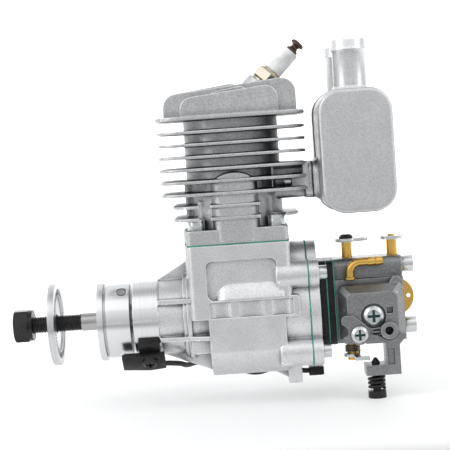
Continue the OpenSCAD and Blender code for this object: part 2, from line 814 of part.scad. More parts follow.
module cylinder_block() {
    color("silver") difference() {
        union() {
            translate([x_cyl, 0, 0]) {
                translate([0, 0, base_z]) linear_extrude(flange_t) deck_outline();
                translate([0, 0, base_z - liner_len]) cylinder(d = liner_d, h = liner_len);
                translate([0, 0, base_z]) cylinder(d = barrel_d, h = head_z - base_z + 0.5);
                barrel_fins();
                small_fins();
                transfer_bulges();
                translate([-deck_half + 2 - pad_out, -pad_w / 2, base_z]) {
                    translate([(deck_half - 2) / 2, pad_w / 2, 0]) slab(deck_half - 2, pad_w, full_fin_z + fin_pitch - base_z, 2);
                }
            }
            exhaust_cheeks();
            in_yz(x_cyl + bore_r + 2, cyl_set - bore_r - 2) translate([0, port_z]) {
                round_rect(port_w + 6, port_h + 7, 3);
            }
            in_yz(-ex_flange_t, ex_flange_t) translate([0, port_z]) round_rect(ex_flange_w, ex_flange_h, 5);
            fin_pair(tall_fin_y) head_fin(x_cyl - 32.5, x_cyl + 33.2, tall_front_z, tall_rear_z, 7);
            fin_pair(mid_fin_y) head_fin(x_cyl - 11, x_cyl + 10.5, tall_front_z - 0.4, tall_front_z + 1.5, 5);
            fin_pair(low_fin_y) head_fin(x_cyl - 23.7, x_cyl + 24, tall_front_z - 2.5, tall_front_z + 0.9, 6);
            in_xz(-head_fin_t / 2, head_fin_t) head_fin(x_cyl - 32.5, x_cyl + 8, tall_front_z + 0.5,
                tall_front_z + 3.6, 7);
            on_plug() translate([0, 0, -18]) cylinder(d = plug_hex_af + 2.6, h = 18);
        }
        translate([x_cyl, 0, 0]) {
            translate([0, 0, base_z - liner_len - 1]) cylinder(r = bore_r, h = crown_z + 0.6 - base_z + liner_len + 1);
            translate([0, 0, crown_z + 0.5]) cylinder(r1 = bore_r - 4, r2 = 7, h = 6.5);
            translate([0, 0, base_z - 1]) at_square_xy(cyl_bolt_sq) cylinder(d = m5_d + 2 * screw_gap, h = 9);
            translate([0, 0, flange_z]) at_square_xy(cyl_bolt_sq) cylinder(d = m5_head_d + 0.8, h = 14);
        }
        in_yz(x_cyl, cyl_set + 1) translate([0, port_z]) round_rect(port_w, port_h, 2);
        for (y = [-1, 1]) {
            translate([0, y * ex_bolt_sp / 2, port_z]) {
                bar_x(-ex_boss_len - 1, 1, m4_d / 2 + screw_gap);
                bar_x(-ex_boss_len - m4_head_h - 5, -ex_boss_len, m4_head_d / 2 + 0.5);
            }
        }
        on_plug() translate([0, 0, -plug_reach - 0.5]) cylinder(d = plug_thread_d + 2 * fit, h = 40);
        on_plug() translate([0, 0, -28]) cylinder(d = plug_thread_d - 3, h = 28);
        on_plug() cylinder(d = plug_hex_af / cos(30) + 1, h = 20);
    }
}

module cylinder_bolts() {
    color("gainsboro") translate([x_cyl, 0, flange_z]) at_square_xy(cyl_bolt_sq) {
        cap_screw(m5_head_d, m5_head_h, m5_d, flange_t + gasket_t + 12);
    }
}

module plug_shell() {
    color("silver") on_plug() difference() {
        union() {
            translate([0, 0, -plug_reach]) cylinder(d = plug_thread_d, h = plug_reach);
            cylinder(d = plug_hex_af - 1, h = 1.4);
            translate([0, 0, 1.4]) cylinder(d = plug_hex_af / cos(30), h = plug_hex_h, $fn = 6);
            translate([0, 0, 1.4 + plug_hex_h]) cylinder(d = plug_collar_d, h = 1.6);
        }
        translate([0, 0, -plug_reach - 1]) cylinder(d = insulator_d - 2 + 2 * fit, h = 40);
    }
}

module plug_insulator() {
    color("white") on_plug() {
        translate([0, 0, -plug_reach + 1]) cylinder(d = insulator_d - 2, h = plug_reach + plug_hex_h + 2.2);
        translate([0, 0, 3 + plug_hex_h]) cylinder(d = insulator_d, h = insulator_len);
    }
}

module plug_terminal() {
    color("dimgray") on_plug() translate([0, 0, 3 + plug_hex_h + insulator_len]) {
        cylinder(d = terminal_d - 0.6, h = 2);
        cylinder(d = terminal_d / 2, h = 5);
        translate([0, 0, 3.8]) cylinder(d = terminal_d, h = 2.4);
    }
}

module exhaust_gasket() {
    color("mediumseagreen") difference() {
        in_yz(0, gasket_t) translate([0, port_z]) round_rect(ex_flange_w, ex_flange_h, 5);
        in_yz(-1, 3) translate([0, port_z]) round_rect(port_w, port_h, 2);
        for (y = [-1, 1]) {
            translate([0, y * ex_bolt_sp / 2, port_z]) bar_x(-1, 2, m4_d / 2 + screw_gap);
        }
    }
}

// A box with round corners and softened edges, given by its size and a place to shrink it by
module soft_box(shrink) {
    r = muffler_r - shrink;
    e = muffler_edge;
    hull() {
        for (x = [x_muffler + muffler_r, x_muffler + muffler_len - muffler_r],
            z = [muffler_z + muffler_r, muffler_top - muffler_r]) {
            translate([x, 0, z]) {
                bar_y(-muffler_w / 2 + e + shrink, muffler_w / 2 - e - shrink, r, $fn = 32);
                bar_y(-muffler_w / 2 + e * 0.3 + shrink, muffler_w / 2 - e * 0.3 - shrink, r - e * 0.3, $fn = 32);
                bar_y(-muffler_w / 2 + shrink, muffler_w / 2 - shrink, r - e, $fn = 32);
            }
        }
    }
}

module muffler() {
    color("darkgray") difference() {
        union() {
            soft_box(0);
            in_xz(-1.1, 2.2) translate([x_muffler + muffler_len / 2, muffler_z + muffler_h / 2]) {
                round_rect(muffler_len + 2 * seam_h, muffler_h + 2 * seam_h, muffler_r + seam_h);
            }
            in_yz(x_neck, neck_len + 1.5) translate([0, port_z]) round_rect(ex_flange_w, ex_flange_h, 5);
            hull() {
                in_yz(x_neck + 1, 0.2) translate([0, port_z]) round_rect(ex_flange_w, ex_flange_h, 5);
                in_yz(x_muffler + 0.6, 0.2) translate([0, port_z]) round_rect(ex_flange_w + 4, ex_flange_h + 4, 6);
            }
        }
        soft_box(muffler_wall);
        in_yz(x_neck - 1, neck_len + 8) translate([0, port_z]) round_rect(port_w, port_h, 2);
        for (y = [-1, 1]) {
            translate([0, y * ex_bolt_sp / 2, port_z]) bar_x(x_neck - 1, x_muffler + 1, m4_d / 2 + screw_gap);
            translate([x_pipe, y * pipe_sp / 2, muffler_top - 6]) cylinder(d = pipe_d + 0.4, h = 8);
        }
    }
}

module muffler_pipes() {
    color("gainsboro") for (y = [-1, 1]) translate([x_pipe, y * pipe_sp / 2, muffler_top]) {
        difference() {
            union() {
                translate([0, 0, -3]) cylinder(d = pipe_d, h = pipe_len + 3);
                cylinder(d1 = pipe_d + 2, d2 = pipe_d, h = 1.2);
                translate([0, 0, pipe_len - 6.5]) cylinder(d1 = pipe_d, d2 = bead_d, h = 1.5);
                translate([0, 0, pipe_len - 5]) cylinder(d1 = bead_d, d2 = pipe_d + 0.6, h = 1.5);
                translate([0, 0, pipe_len - 3.5]) cylinder(d = pipe_d + 0.6, h = 3.5);
            }
            translate([0, 0, -5]) cylinder(d = pipe_d - 2 * pipe_wall, h = pipe_len + 10);
        }
    }
}

module muffler_bolts() {
    color("gainsboro") for (y = [-1, 1]) {
        translate([-ex_boss_len, y * ex_bolt_sp / 2, port_z]) rotate([0, -90, 0]) {
            cap_screw(m4_head_d, m4_head_h, m4_d, ex_boss_len + gasket_t + neck_len - 0.5);
        }
    }
}

// Outline of the spacers between the backplate and the carburettor
module spacer_outline() {
    translate([0, intake_z]) round_rect(spacer_w, spacer_h, 5);
}

reed_tip = -19;

// Wedge of the reed cage, in the XZ plane
module reed_wedge(grow) {
    polygon([[0.1, intake_z + reed_half - grow], [-2, intake_z + reed_half - grow], [reed_tip + grow, intake_z + 1],
        [reed_tip + grow, intake_z - 1], [-2, intake_z - reed_half + grow], [0.1, intake_z - reed_half + grow]]);
}

module reed_block() {
    color("dimgray") difference() {
        union() {
            in_yz(0, reed_t) spacer_outline();
            in_xz(-9, 18) reed_wedge(0);
        }
        bar_x_at_intake(-2, reed_t + 1, carb_bore_r - 1.2);
        in_xz(-6.5, 13) polygon([[1, intake_z + 8], [-3, intake_z + 7.4], [-14, intake_z + 2],
            [-14, intake_z - 2], [-3, intake_z - 7.4], [1, intake_z - 8]]);
        for (side = [-1, 1]) {
            translate([-7.5, 0, intake_z + side * 7]) cube([8, 13, 8], center = true);
        }
        carb_screw_holes(-1, reed_t + 1);
    }
}

module bar_x_at_intake(x0, x1, r) {
    translate([0, 0, intake_z]) bar_x(x0, x1, r);
}

// One flexible reed petal on the slope of the cage, upper (1) or lower (-1)
module reed_petal(side) {
    rise = atan((reed_half - 1) / (-2 - reed_tip));
    translate([-2.3, 0, intake_z + side * (reed_half + 0.15)]) rotate([0, side * -rise, 0]) {
        translate([-17, -8, side > 0 ? 0.05 : -0.35]) cube([17, 16, 0.3]);
    }
}

module upper_reed() {
    color("black") reed_petal(1);
}

module lower_reed() {
    color("black") reed_petal(-1);
}

// A gasket in the induction stack
module stack_gasket(x0) {
    difference() {
        in_yz(x0, gasket_t) spacer_outline();
        bar_x_at_intake(x0 - 1, x0 + 2, carb_bore_r);
        carb_screw_holes(x0 - 1, x0 + 2);
    }
}

module reed_gasket() {
    color("mediumseagreen") stack_gasket(reed_t);
}

module insulator() {
    color("black") difference() {
        in_yz(x_insulator, insulator_t) spacer_outline();
        bar_x_at_intake(x_insulator - 1, x_carb, carb_bore_r - 0.4);
        carb_screw_holes(x_insulator - 1, x_carb);
    }
}

module carb_gasket() {
    color("mediumseagreen") stack_gasket(x_carb_gasket);
}

module carb_body() {
    barrel_half = carb_half - 2.5;
    color("dimgray") difference() {
        union() {
            in_yz(x_carb, carb_len) {
                translate([-carb_half, carb_z0]) square([carb_w, carb_low + carb_shoulder]);
                translate([-barrel_half, intake_z]) square([2 * barrel_half, carb_top - 4]);
                translate([-barrel_half + 4, intake_z]) square([2 * barrel_half - 8, carb_top]);
                for (side = [-1, 1]) {
                    translate([side * (barrel_half - 4), carb_z1 - 4]) circle(r = 4);
                }
            }
            for (z = [-1, 1]) {
                translate([0, carb_bolt_y, intake_z + z * carb_bolt_sp / 2]) {
                    bar_x(x_carb_rear - 1, x_carb_rear + boss_pad, m5_head_d / 2 + 0.4);
                }
            }
            translate([x_throttle, 0, carb_z0 - 2.2]) cylinder(d = throttle_d + 3, h = 4);
        }
        bar_x_at_intake(x_carb - 1, x_throttle + 11, carb_bore_r);
        bar_x_at_intake(x_throttle + 10, x_carb_rear + 1, carb_bore_r + 0.5);
        carb_screw_holes(x_carb - 1, x_carb_rear + 3);
        translate([x_throttle, 0, carb_z0 - 5]) cylinder(d = throttle_d + 2 * fit, h = carb_low + carb_top + 8);
        translate([x_choke, 0, carb_z0 + 5]) cylinder(d = choke_d + 2 * fit, h = carb_low + carb_top);
    }
}

// Outline of the covers, in the XZ plane
module cover_outline(drop) {
    x0 = x_carb + 1.2;
    x1 = x_carb_rear - 0.8;
    z0 = carb_z0 + 0.2;
    z1 = intake_z + 8.7;
    polygon([[x0 + drop, z0 + drop + 2], [x0 + drop + 2, z0 + drop], [x1 - drop - 2, z0 + drop],
        [x1 - drop, z0 + drop + 2], [x1 - drop, z1 - drop - 2], [x1 - drop - 2, z1 - drop],
        [x0 + drop + 2, z1 - drop], [x0 + drop, z1 - drop - 2]]);
}

cover_screw_x = x_idle;
cover_screw_z = intake_z - 6.3;
bracket_screw_x = x_idle - 7.4;
bracket_screw_z = intake_z - 14.7;
needle_x = x_idle + 7;
needle_z = intake_z - 13.6;
needle_boss_d = 8.5;

// Cover with wide slanted sides, a raised rear corner and the boss of the mixture needle
module pump_cover() {
    x1 = x_carb_rear - 0.8;
    z1 = intake_z + 8.7;
    color("gray") difference() {
        union() {
            in_xz(y_cover + 5, cover_t - 5) cover_outline(0);
            hull() {
                in_xz(y_cover + 5, 0.4) cover_outline(0);
                in_xz(y_cover, 0.4) cover_outline(3.6);
            }
            in_xz(y_cover + 5, cover_t - 5) polygon([[x1 - 8, z1 - 2], [x1 - 6.4, z1 + 0.6], [x1 - 4.6, z1 + 3.2],
                [x1 - 2, z1 + 3.2], [x1, z1 + 1], [x1, z1 - 3]]);
            translate([needle_x, 0, needle_z]) bar_y(y_cover - 3, y_cover + 1, needle_boss_d / 2);
        }
        translate([cover_screw_x, 0, cover_screw_z]) {
            bar_y(y_cover - 1, y_cover + 1.5, 6);
            bar_y(y_cover - 1, y_cover + 8, 1.8);
            translate([6.6, y_cover - 1, 0.8]) cube([3, 3, 3]);
        }
        translate([bracket_screw_x, 0, bracket_screw_z]) bar_y(y_cover - 1, y_cover + 6, 1.8);
        translate([needle_x, 0, needle_z]) bar_y(y_cover - 4, y_cover + 7.5, 2 + fit);
        for (i = [0:2]) {
            translate([cover_screw_x - 0.6, y_cover - 1, needle_z - 2 + i * 1.8]) cube([3, 2.4, 0.8]);
        }
    }
}

module cover_screw() {
    color("silver") translate([cover_screw_x, y_cover + 1.5, cover_screw_z]) rotate([90, 0, 0]) {
        pan_screw(9.9, 3.2, 3, 5);
    }
}

module bracket_screw() {
    color("silver") translate([bracket_screw_x, y_cover - 1.6, bracket_screw_z]) rotate([90, 0, 0]) {
        pan_screw(8.4, 2.8, 3, 5);
    }
}

// Bracket that carries the idle screw: a lobe and an eye on the cover, a broad leg and a foot
module idle_bracket() {
    y0 = y_cover - 1.6;
    leg_x = x_idle + 4.8;
    leg_end = x_idle + 11.8;
    eye_z = bracket_screw_z;
    color("gray") difference() {
        union() {
            in_xz(y0, 1.6) {
                translate([bracket_screw_x, eye_z]) circle(r = 5.2);
                polygon([[bracket_screw_x - 7.6, eye_z + 8.4], [bracket_screw_x - 3, eye_z + 9.6],
                    [bracket_screw_x + 3.6, eye_z + 4.2], [bracket_screw_x - 4.6, eye_z + 2.4], [bracket_screw_x - 8.4, eye_z + 5.4]]);
                translate([bracket_screw_x - 5.9, eye_z + 6.9]) circle(r = 2.6);
            }
            in_xz(y0, 1.6) polygon([[bracket_screw_x + 3, eye_z + 0.4], [leg_x, eye_z - 2.4],
                [x_carb_rear - 1.2, eye_z - 0.6], [x_carb_rear - 1.2, eye_z - 2.4], [leg_end, eye_z - 6], [leg_end, foot_z],
                [leg_x, foot_z], [leg_x, eye_z - 4.9], [bracket_screw_x + 3, eye_z - 4.9]]);
            translate([x_idle - 5.2, y0, foot_z]) cube([leg_end - x_idle + 5.2, 12, foot_t]);
            translate([leg_x, y0, foot_z]) cube([leg_end - leg_x, 12, carb_z0 - foot_z]);
        }
        translate([leg_x + 0.8, y0 - 1, foot_z + foot_t]) cube([3.4, 2.2, carb_z0 - foot_z - foot_t - 2.2]);
        translate([bracket_screw_x, 0, bracket_screw_z]) bar_y(y0 - 1, y0 + 3, 1.8);
        translate([needle_x, 0, needle_z]) bar_y(y0 - 1, y0 + 3, needle_boss_d / 2 + play);
        translate([x_idle, y0 + 6, foot_z - 1]) cylinder(r = 2 + fit, h = foot_t + 2);
    }
}

idle_y = y_cover - 1.6 + 6;

module idle_screw() {
    tip_z = foot_z + foot_t + 3;
    head_low = foot_z - idle_spring_len - 3.6;
    color("dimgray") translate([x_idle, idle_y, 0]) difference() {
        union() {
            translate([0, 0, head_low + 3]) cylinder(r = 2, h = tip_z - head_low - 5);
            translate([0, 0, tip_z - 2]) cylinder(r1 = 2, r2 = 0.5, h = 2);
            translate([0, 0, head_low]) cylinder(d = idle_head_d, h = 3.6);
        }
        translate([-idle_head_d, -0.7, head_low - 1]) cube([2 * idle_head_d, 1.4, 2.4]);
    }
}

module idle_spring() {
    color("black") translate([x_idle, idle_y, foot_z - idle_spring_len]) difference() {
        union() {
            for (i = [0:3]) {
                translate([0, 0, i * (idle_spring_len - 1.8) / 3]) {
                    rotate_extrude() translate([3.6, 0.9]) circle(r = 0.88);
                }
            }
            translate([0, 0, 0.02]) cylinder(r = 2.9, h = idle_spring_len - 0.04);
        }
        translate([0, 0, -1]) cylinder(r = 2 + play, h = idle_spring_len + 2);
    }
}

module mixture_needle() {
    color("goldenrod") translate([needle_x, 0, needle_z]) difference() {
        bar_y(y_cover + 1.4, y_cover + 7, 2);
        translate([-3, y_cover + 0.4, -0.4]) cube([6, 1.8, 0.8]);
    }
}

module metering_cover() {
    color("gray") difference() {
        union() {
            in_xz(carb_half, back_cover_t - 2) cover_outline(0);
            in_xz(carb_half + 1, back_cover_t - 1) cover_outline(3);
        }
        translate([(x_carb + x_carb_rear) / 2, 0, intake_z - 4]) bar_y(carb_half + 2, carb_half + 9, 1);
    }
}

fuel_x = x_carb + 7.5;
fuel_y = -carb_half + 4.5;
fuel_bend = 4.5;

module fuel_inlet() {
    z_bend = carb_z1 - 1.6;
    color("goldenrod") translate([fuel_x, fuel_y - 5.5, 0]) {
        translate([0, 0, intake_z + carb_shoulder]) cylinder(d = fuel_d + 1.4, h = 1.5);
        translate([0, 0, intake_z + carb_shoulder]) {
            cylinder(d = fuel_d, h = z_bend - fuel_bend - intake_z - carb_shoulder);
        }
        translate([fuel_bend, 0, z_bend - fuel_bend]) rotate([90, 180, 0]) {
            rotate_extrude(angle = -90) translate([fuel_bend, 0]) circle(d = fuel_d);
        }
        translate([0, 0, z_bend]) {
            bar_x(fuel_bend, 16.5, fuel_d / 2);
            for (x = [9.5, 13]) {
                translate([x, 0, 0]) rotate([0, 90, 0]) cylinder(d1 = fuel_d + 0.8, d2 = fuel_d, h = 3);
            }
        }
    }
}

module carb_bolts() {
    x_head = x_carb_rear + boss_pad;
    color("gainsboro") for (z = [-1, 1]) {
        translate([x_head, carb_bolt_y, intake_z + z * carb_bolt_sp / 2]) rotate([0, 90, 0]) {
            cap_screw(m5_head_d, m5_head_h + 0.6, m5_d, x_head + backplate_t - 0.8);
        }
    }
}

// Shaft with a flat where its plate is screwed on
module throttle_shaft() {
    shaft_z = carb_z0 - 10.4;
    color("goldenrod") translate([x_throttle, 0, 0]) difference() {
        translate([0, 0, shaft_z]) cylinder(d = throttle_d, h = lever_z - shaft_z);
        translate([-plate_t / 2 - fit, -throttle_d, intake_z - carb_bore_r]) {
            cube([plate_t + 2 * fit, 2 * throttle_d, 2 * carb_bore_r]);
        }
    }
}

module throttle_plate() {
    color("gold") translate([0, 0, intake_z]) bar_x(x_throttle - plate_t / 2, x_throttle + plate_t / 2, carb_bore_r - 0.15);
}

module throttle_arm() {
    color("gainsboro") translate([x_throttle, 0, lever_z]) difference() {
        union() {
            cylinder(r = 5.8, h = lever_t);
            translate([0, -3, 0]) cube([8, 6, lever_t]);
            translate([8, 0, 0]) cylinder(r = 3, h = lever_t);
        }
        translate([8, 0, -1]) cylinder(r = 1, h = 4);
    }
}

module throttle_arm_screw() {
    color("dimgray") translate([x_throttle, 0, lever_z + lever_t]) {
        cylinder(d = 7, h = 1);
        translate([0, 0, 1]) cylinder(d1 = 7, d2 = 4.4, h = 1);
    }
}

module throttle_spring() {
    color("black") translate([x_throttle, 0, stop_z + lever_t]) difference() {
        cylinder(r = 3.9, h = 4.4);
        translate([0, 0, -1]) cylinder(d = throttle_d + 0.4, h = 8);
        for (i = [0:2]) {
            translate([0, 0, 0.9 + i * 1.3]) rotate_extrude() translate([3.9, 0]) square([1.2, 0.4], center = true);
        }
    }
}

module stop_lever() {
    color("gainsboro") translate([x_throttle, 0, stop_z]) difference() {
        union() {
            cylinder(r = 4.8, h = lever_t);
            translate([0, -11, 0]) cube([4, 11, lever_t]);
            translate([0, -16, 0]) cube([7, 6, lever_t]);
        }
        translate([0, 0, -1]) cylinder(d = throttle_d, h = 4);
    }
}

module choke_shaft() {
    color("goldenrod") translate([x_choke, 0, 0]) difference() {
        translate([0, 0, carb_z0 + 5.5]) cylinder(d = choke_d, h = lever_z - carb_z0 - 5.5);
        translate([-choke_d, -plate_t / 2 - fit, intake_z - carb_bore_r]) {
            cube([2 * choke_d, plate_t + 2 * fit, 2 * carb_bore_r]);
        }
    }
}

module choke_plate() {
    color("gold") translate([x_choke, 0, intake_z]) difference() {
        bar_y(-plate_t / 2, plate_t / 2, carb_bore_r);
        translate([7, 0, 0]) bar_y(-2, 2, 1);
    }
}

module choke_lever() {
    color("gainsboro") translate([x_choke, 0, lever_z]) difference() {
        union() {
            cylinder(r = 5.9, h = lever_t);
            cylinder(r = 1.5, h = 4);
            translate([0, 4, 0]) cylinder(r = 3.4, h = lever_t);
        }
        translate([0, 5, -1]) cylinder(r = 0.8, h = 4);
    }
}

// Places a child on the nose ring at the sensor's angle, z outwards
module at_sensor() {
    rotate([sensor_angle + 90, 0, 0]) children();
}

module sensor_holder() {
    color("black") at_sensor() difference() {
        translate([x_holder, -holder_w / 2, holder_mid - 3]) cube([holder_len, holder_w, holder_h + 3]);
        bar_x(x_nose - 1, x_ring + 1, nose_d / 2 + fit);
    }
}

// The bar thins towards its front end and has a blunt keel
module sensor_bar() {
    low = holder_mid + holder_h;
    top = low + bar_h;
    color("black") at_sensor() difference() {
        in_xz(-bar_w / 2 - bar_drop, bar_w) polygon([[x_bar, low + 0.9], [x_bar + 1.4, low], [x_bar + bar_len, low],
            [x_bar + bar_len, top - 0.8], [x_bar + bar_len * 0.62, top], [x_bar, top - 1]]);
        translate([x_holder + holder_len / 2, 0, holder_mid]) cylinder(r = 1.8, h = 20);
    }
}

module sensor_screw() {
    color("dimgray") at_sensor() translate([x_holder + holder_len / 2, 0, holder_mid + holder_h + bar_h]) {
        translate([0, 0, 0.02]) pan_screw(sensor_screw_d, 2, 3, bar_h - 0.2);
    }
}

// Direction of the cable at a point of its route, square to the faces it leaves at both ends
function along(p, i) = i == 0 || i == len(p) - 1 ? [1, 0, 0] : (p[i + 1] - p[i - 1]) / norm(p[i + 1] - p[i - 1]);

// Ring of eight points round a point of the route
function cable_ring(p, i, r) = let (d = along(p, i), u = cross([0, 0, 1], d) / norm(cross([0, 0, 1], d)), v = cross(d, u))
    [for (k = [0:7]) p[i] + r * (cos(45 * k) * u + sin(45 * k) * v)];

module sensor_cable() {
    n = len(cable_route);
    points = [for (i = [0:n - 1]) each cable_ring(cable_route, i, cable_d / 2)];
    sides = [for (i = [0:n - 2], k = [0:7]) [8 * i + k, 8 * i + 8 + k, 8 * i + 8 + (k + 1) % 8, 8 * i + (k + 1) % 8]];
    color("black") polyhedron(points, concat([[for (k = [0:7]) k]], sides, [[for (k = [0:7]) 8 * n - 1 - k]]));
}

module sensor_connector() {
    color("black") translate([-6.6, 3, -35.4]) cube([7.6, 6, 4.4]);
}

module crankshaft() {
    color("lightgray") {
        bar_x(x_web_front, x_web, web_r);
        bar_x(x_hub, x_web_front, journal_d / 2);
        bar_x(x_hub_front, x_hub, hub_seat_d / 2);
        bar_x(x_thread, x_hub_front, prop_shaft_d / 2);
        bar_x(x_shaft_tip, x_thread, thread_d / 2);
    }
}

module prop_hub() {
    color("whitesmoke") difference() {
        union() {
            bar_x(x_hub - hub_drum_len, x_hub, hub_d / 2);
            bar_x(x_hub_front + hub_flange_t, x_hub, hub_d / 2 - 1.2);
            bar_x(x_hub_front, x_hub_front + hub_flange_t, hub_flange_d / 2);
        }
        bar_x(x_hub_front - 1, x_hub + 1, hub_seat_d / 2);
        at_magnet() cylinder(d = magnet_d, h = 10);
    }
}

// Places a child in the magnet hole of the hub, z outwards
module at_magnet() {
    rotate([90 - magnet_angle, 0, 0]) translate([x_hub - 3.7, 0, hub_d / 2 - 5.2]) children();
}

module hub_magnet() {
    color("lightgray") at_magnet() cylinder(d = magnet_d, h = 5);
}

module prop_nut() {
    x_hex = x_nut - nut_face_len;
    corner_r = nut_af / 2 / cos(30);
    color("black") difference() {
        union() {
            bar_x(x_hex - 1, x_nut, nut_af / 2);
            intersection() {
                translate([x_nut - nut_len, 0, 0]) rotate([0, 90, 0]) rotate([0, 0, 30]) {
                    cylinder(r = corner_r, h = nut_len - nut_face_len, $fn = 6);
                }
                peg_x(x_nut - nut_len, x_nut, corner_r + 0.1, 1.8);
            }
        }
        bar_x(x_nut - nut_len - 1, x_nut + 1, thread_d / 2 + fit);
    }
}

// Thrust washer in front of the propeller, knurled on its rear face
module prop_washer() {
    recess_r = washer_d / 2 - 3 - knurl_w;
    x_rear = x_washer + washer_t;
    color("silver") difference() {
        bar_x(x_washer, x_rear, washer_d / 2);
        bar_x(x_rear - 1.2, x_rear + 1, recess_r);
        bar_x(x_washer - 1, x_rear + 1, prop_shaft_d / 2 + 0.12);
        for (i = [0:knurl_count - 1]) {
            rotate([i * 360 / knurl_count, 0, 0]) translate([x_rear, 0, recess_r + knurl_w / 2]) {
                rotate([45, 0, 0]) cube([1, 0.7, 0.7], center = true);
            }
        }
    }
}

module piston() {
    r = bore_r - fit;
    inner_r = r - skirt_wall;
    color("lightgray") translate([x_cyl, 0, wrist_z]) difference() {
        translate([0, 0, -skirt_h]) cylinder(r = r, h = skirt_h + crown_h);
        difference() {
            translate([0, 0, -skirt_h - 1]) cylinder(r = inner_r, h = skirt_h + 1 + crown_h - 4.5);
            for (side = [-1, 1]) {
                translate([side * (big_end_w / 2 + 6), 0, 0]) bar_x(-5.5, 5.5, wrist_d / 2 + 2.5);
            }
        }
        bar_x(-bore_r - 1, bore_r + 1, wrist_d / 2);
        translate([0, 0, crown_h - 3 - ring_h]) difference() {
            cylinder(r = bore_r + 1, h = ring_h + 0.1);
            translate([0, 0, -1]) cylinder(r = r - 2, h = ring_h + 3);
        }
    }
}

module piston_ring() {
    color("gray") translate([x_cyl, 0, crown_z - 3 - ring_h + 0.05]) difference() {
        cylinder(r = bore_r - 0.02, h = ring_h);
        translate([0, 0, -1]) cylinder(r = bore_r - fit - 1.8, h = ring_h + 2);
    }
}

module wrist_pin() {
    color("lightgray") translate([x_cyl, 0, wrist_z]) difference() {
        bar_x(-wrist_len / 2, wrist_len / 2, wrist_d / 2);
        bar_x(-wrist_len, wrist_len, wrist_d / 2 - 2);
    }
}

module conrod() {
    big_half = big_end_w / 2;
    small_half = big_half - 0.7;
    color("silver") translate([x_cyl, 0, 0]) difference() {
        union() {
            translate([0, 0, wrist_z]) bar_x(-small_half, small_half, small_eye_r);
            translate([0, 0, crank_r]) bar_x(-big_half, big_half, eye_r);
            translate([-2.5, -4, crank_r]) cube([5, 8, rod_len]);
        }
        translate([0, 0, wrist_z]) bar_x(-big_half - 1, big_half + 1, wrist_d / 2 + fit);
        translate([0, 0, crank_r]) bar_x(-big_half - 1, big_half + 1, crankpin_d / 2 + 1);
        for (side = [-1, 1]) {
            translate([side * 2.6, 0, crank_r + rod_len / 2]) cube([2, 4.4, rod_len - 22], center = true);
        }
    }
}

module crankpin() {
    color("gainsboro") translate([x_cyl, 0, crank_r]) {
        bar_x(-big_end_w / 2 - 0.2, big_end_w / 2, crankpin_d / 2 + 1 - fit);
    }
}

crankcase();
front_bearing();
rear_bearing();
oil_seal();
backplate_gasket();
backplate();
backplate_screws();
base_gasket();
cylinder_block();
cylinder_bolts();
plug_shell();
plug_insulator();
plug_terminal();
exhaust_gasket();
muffler();
muffler_pipes();
muffler_bolts();
reed_block();
upper_reed();
lower_reed();
reed_gasket();
insulator();
carb_gasket();
carb_body();
pump_cover();
cover_screw();
idle_bracket();
bracket_screw();
metering_cover();
fuel_inlet();
carb_bolts();
throttle_shaft();
throttle_arm();
throttle_arm_screw();
throttle_plate();
throttle_spring();
stop_lever();
choke_shaft();
choke_lever();
choke_plate();
idle_screw();
idle_spring();
mixture_needle();
sensor_holder();
sensor_bar();
sensor_screw();
sensor_cable();
sensor_connector();
crankshaft();
prop_hub();
hub_magnet();
prop_nut();
prop_washer();
piston();
piston_ring();
wrist_pin();
conrod();
crankpin();
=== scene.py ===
import json
import math

import bmesh
import bpy
from mathutils import Matrix, Vector


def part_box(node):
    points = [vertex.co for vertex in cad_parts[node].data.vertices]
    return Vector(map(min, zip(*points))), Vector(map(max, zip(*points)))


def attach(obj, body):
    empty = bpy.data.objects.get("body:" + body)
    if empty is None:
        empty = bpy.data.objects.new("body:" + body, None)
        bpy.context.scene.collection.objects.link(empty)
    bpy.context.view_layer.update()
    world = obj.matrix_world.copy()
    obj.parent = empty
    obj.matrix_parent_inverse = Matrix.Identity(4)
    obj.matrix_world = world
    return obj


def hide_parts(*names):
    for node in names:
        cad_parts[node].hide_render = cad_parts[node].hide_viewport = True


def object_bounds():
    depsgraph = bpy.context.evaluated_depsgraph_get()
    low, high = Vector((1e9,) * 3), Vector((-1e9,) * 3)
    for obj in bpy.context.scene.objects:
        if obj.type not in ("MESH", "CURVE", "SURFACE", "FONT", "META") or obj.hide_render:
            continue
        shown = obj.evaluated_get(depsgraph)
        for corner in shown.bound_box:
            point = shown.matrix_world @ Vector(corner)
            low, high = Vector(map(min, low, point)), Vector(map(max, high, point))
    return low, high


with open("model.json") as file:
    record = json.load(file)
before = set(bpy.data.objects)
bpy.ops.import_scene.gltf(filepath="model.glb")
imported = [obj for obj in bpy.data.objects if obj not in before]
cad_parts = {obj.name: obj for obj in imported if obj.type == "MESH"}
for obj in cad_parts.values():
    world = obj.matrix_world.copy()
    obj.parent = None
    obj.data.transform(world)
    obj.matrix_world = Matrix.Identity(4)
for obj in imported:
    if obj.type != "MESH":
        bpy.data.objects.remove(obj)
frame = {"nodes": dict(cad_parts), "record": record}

CAD_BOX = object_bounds()
MM = 0.001
NODES = frame["nodes"]
NODE_BODY = {node: body for body, nodes in frame["record"]["behaviour"]["bodies"].items() for node in nodes}
NODE_SLOT = {part["node"]: part["material_slot"] for part in frame["record"]["subparts"]}

# Camera of the photograph. Lines that run straight away from it meet at the pixel DEPTH_POINT.
PHOTO_SIZE = 450
FOCAL_PIXELS = 1300
FILM_WIDTH = 36
CAMERA_PLACE = Vector((-32.8, -650, 82.8)) * MM
CAMERA_ROLL = math.radians(3.9)
DEPTH_POINT = (242, 146)

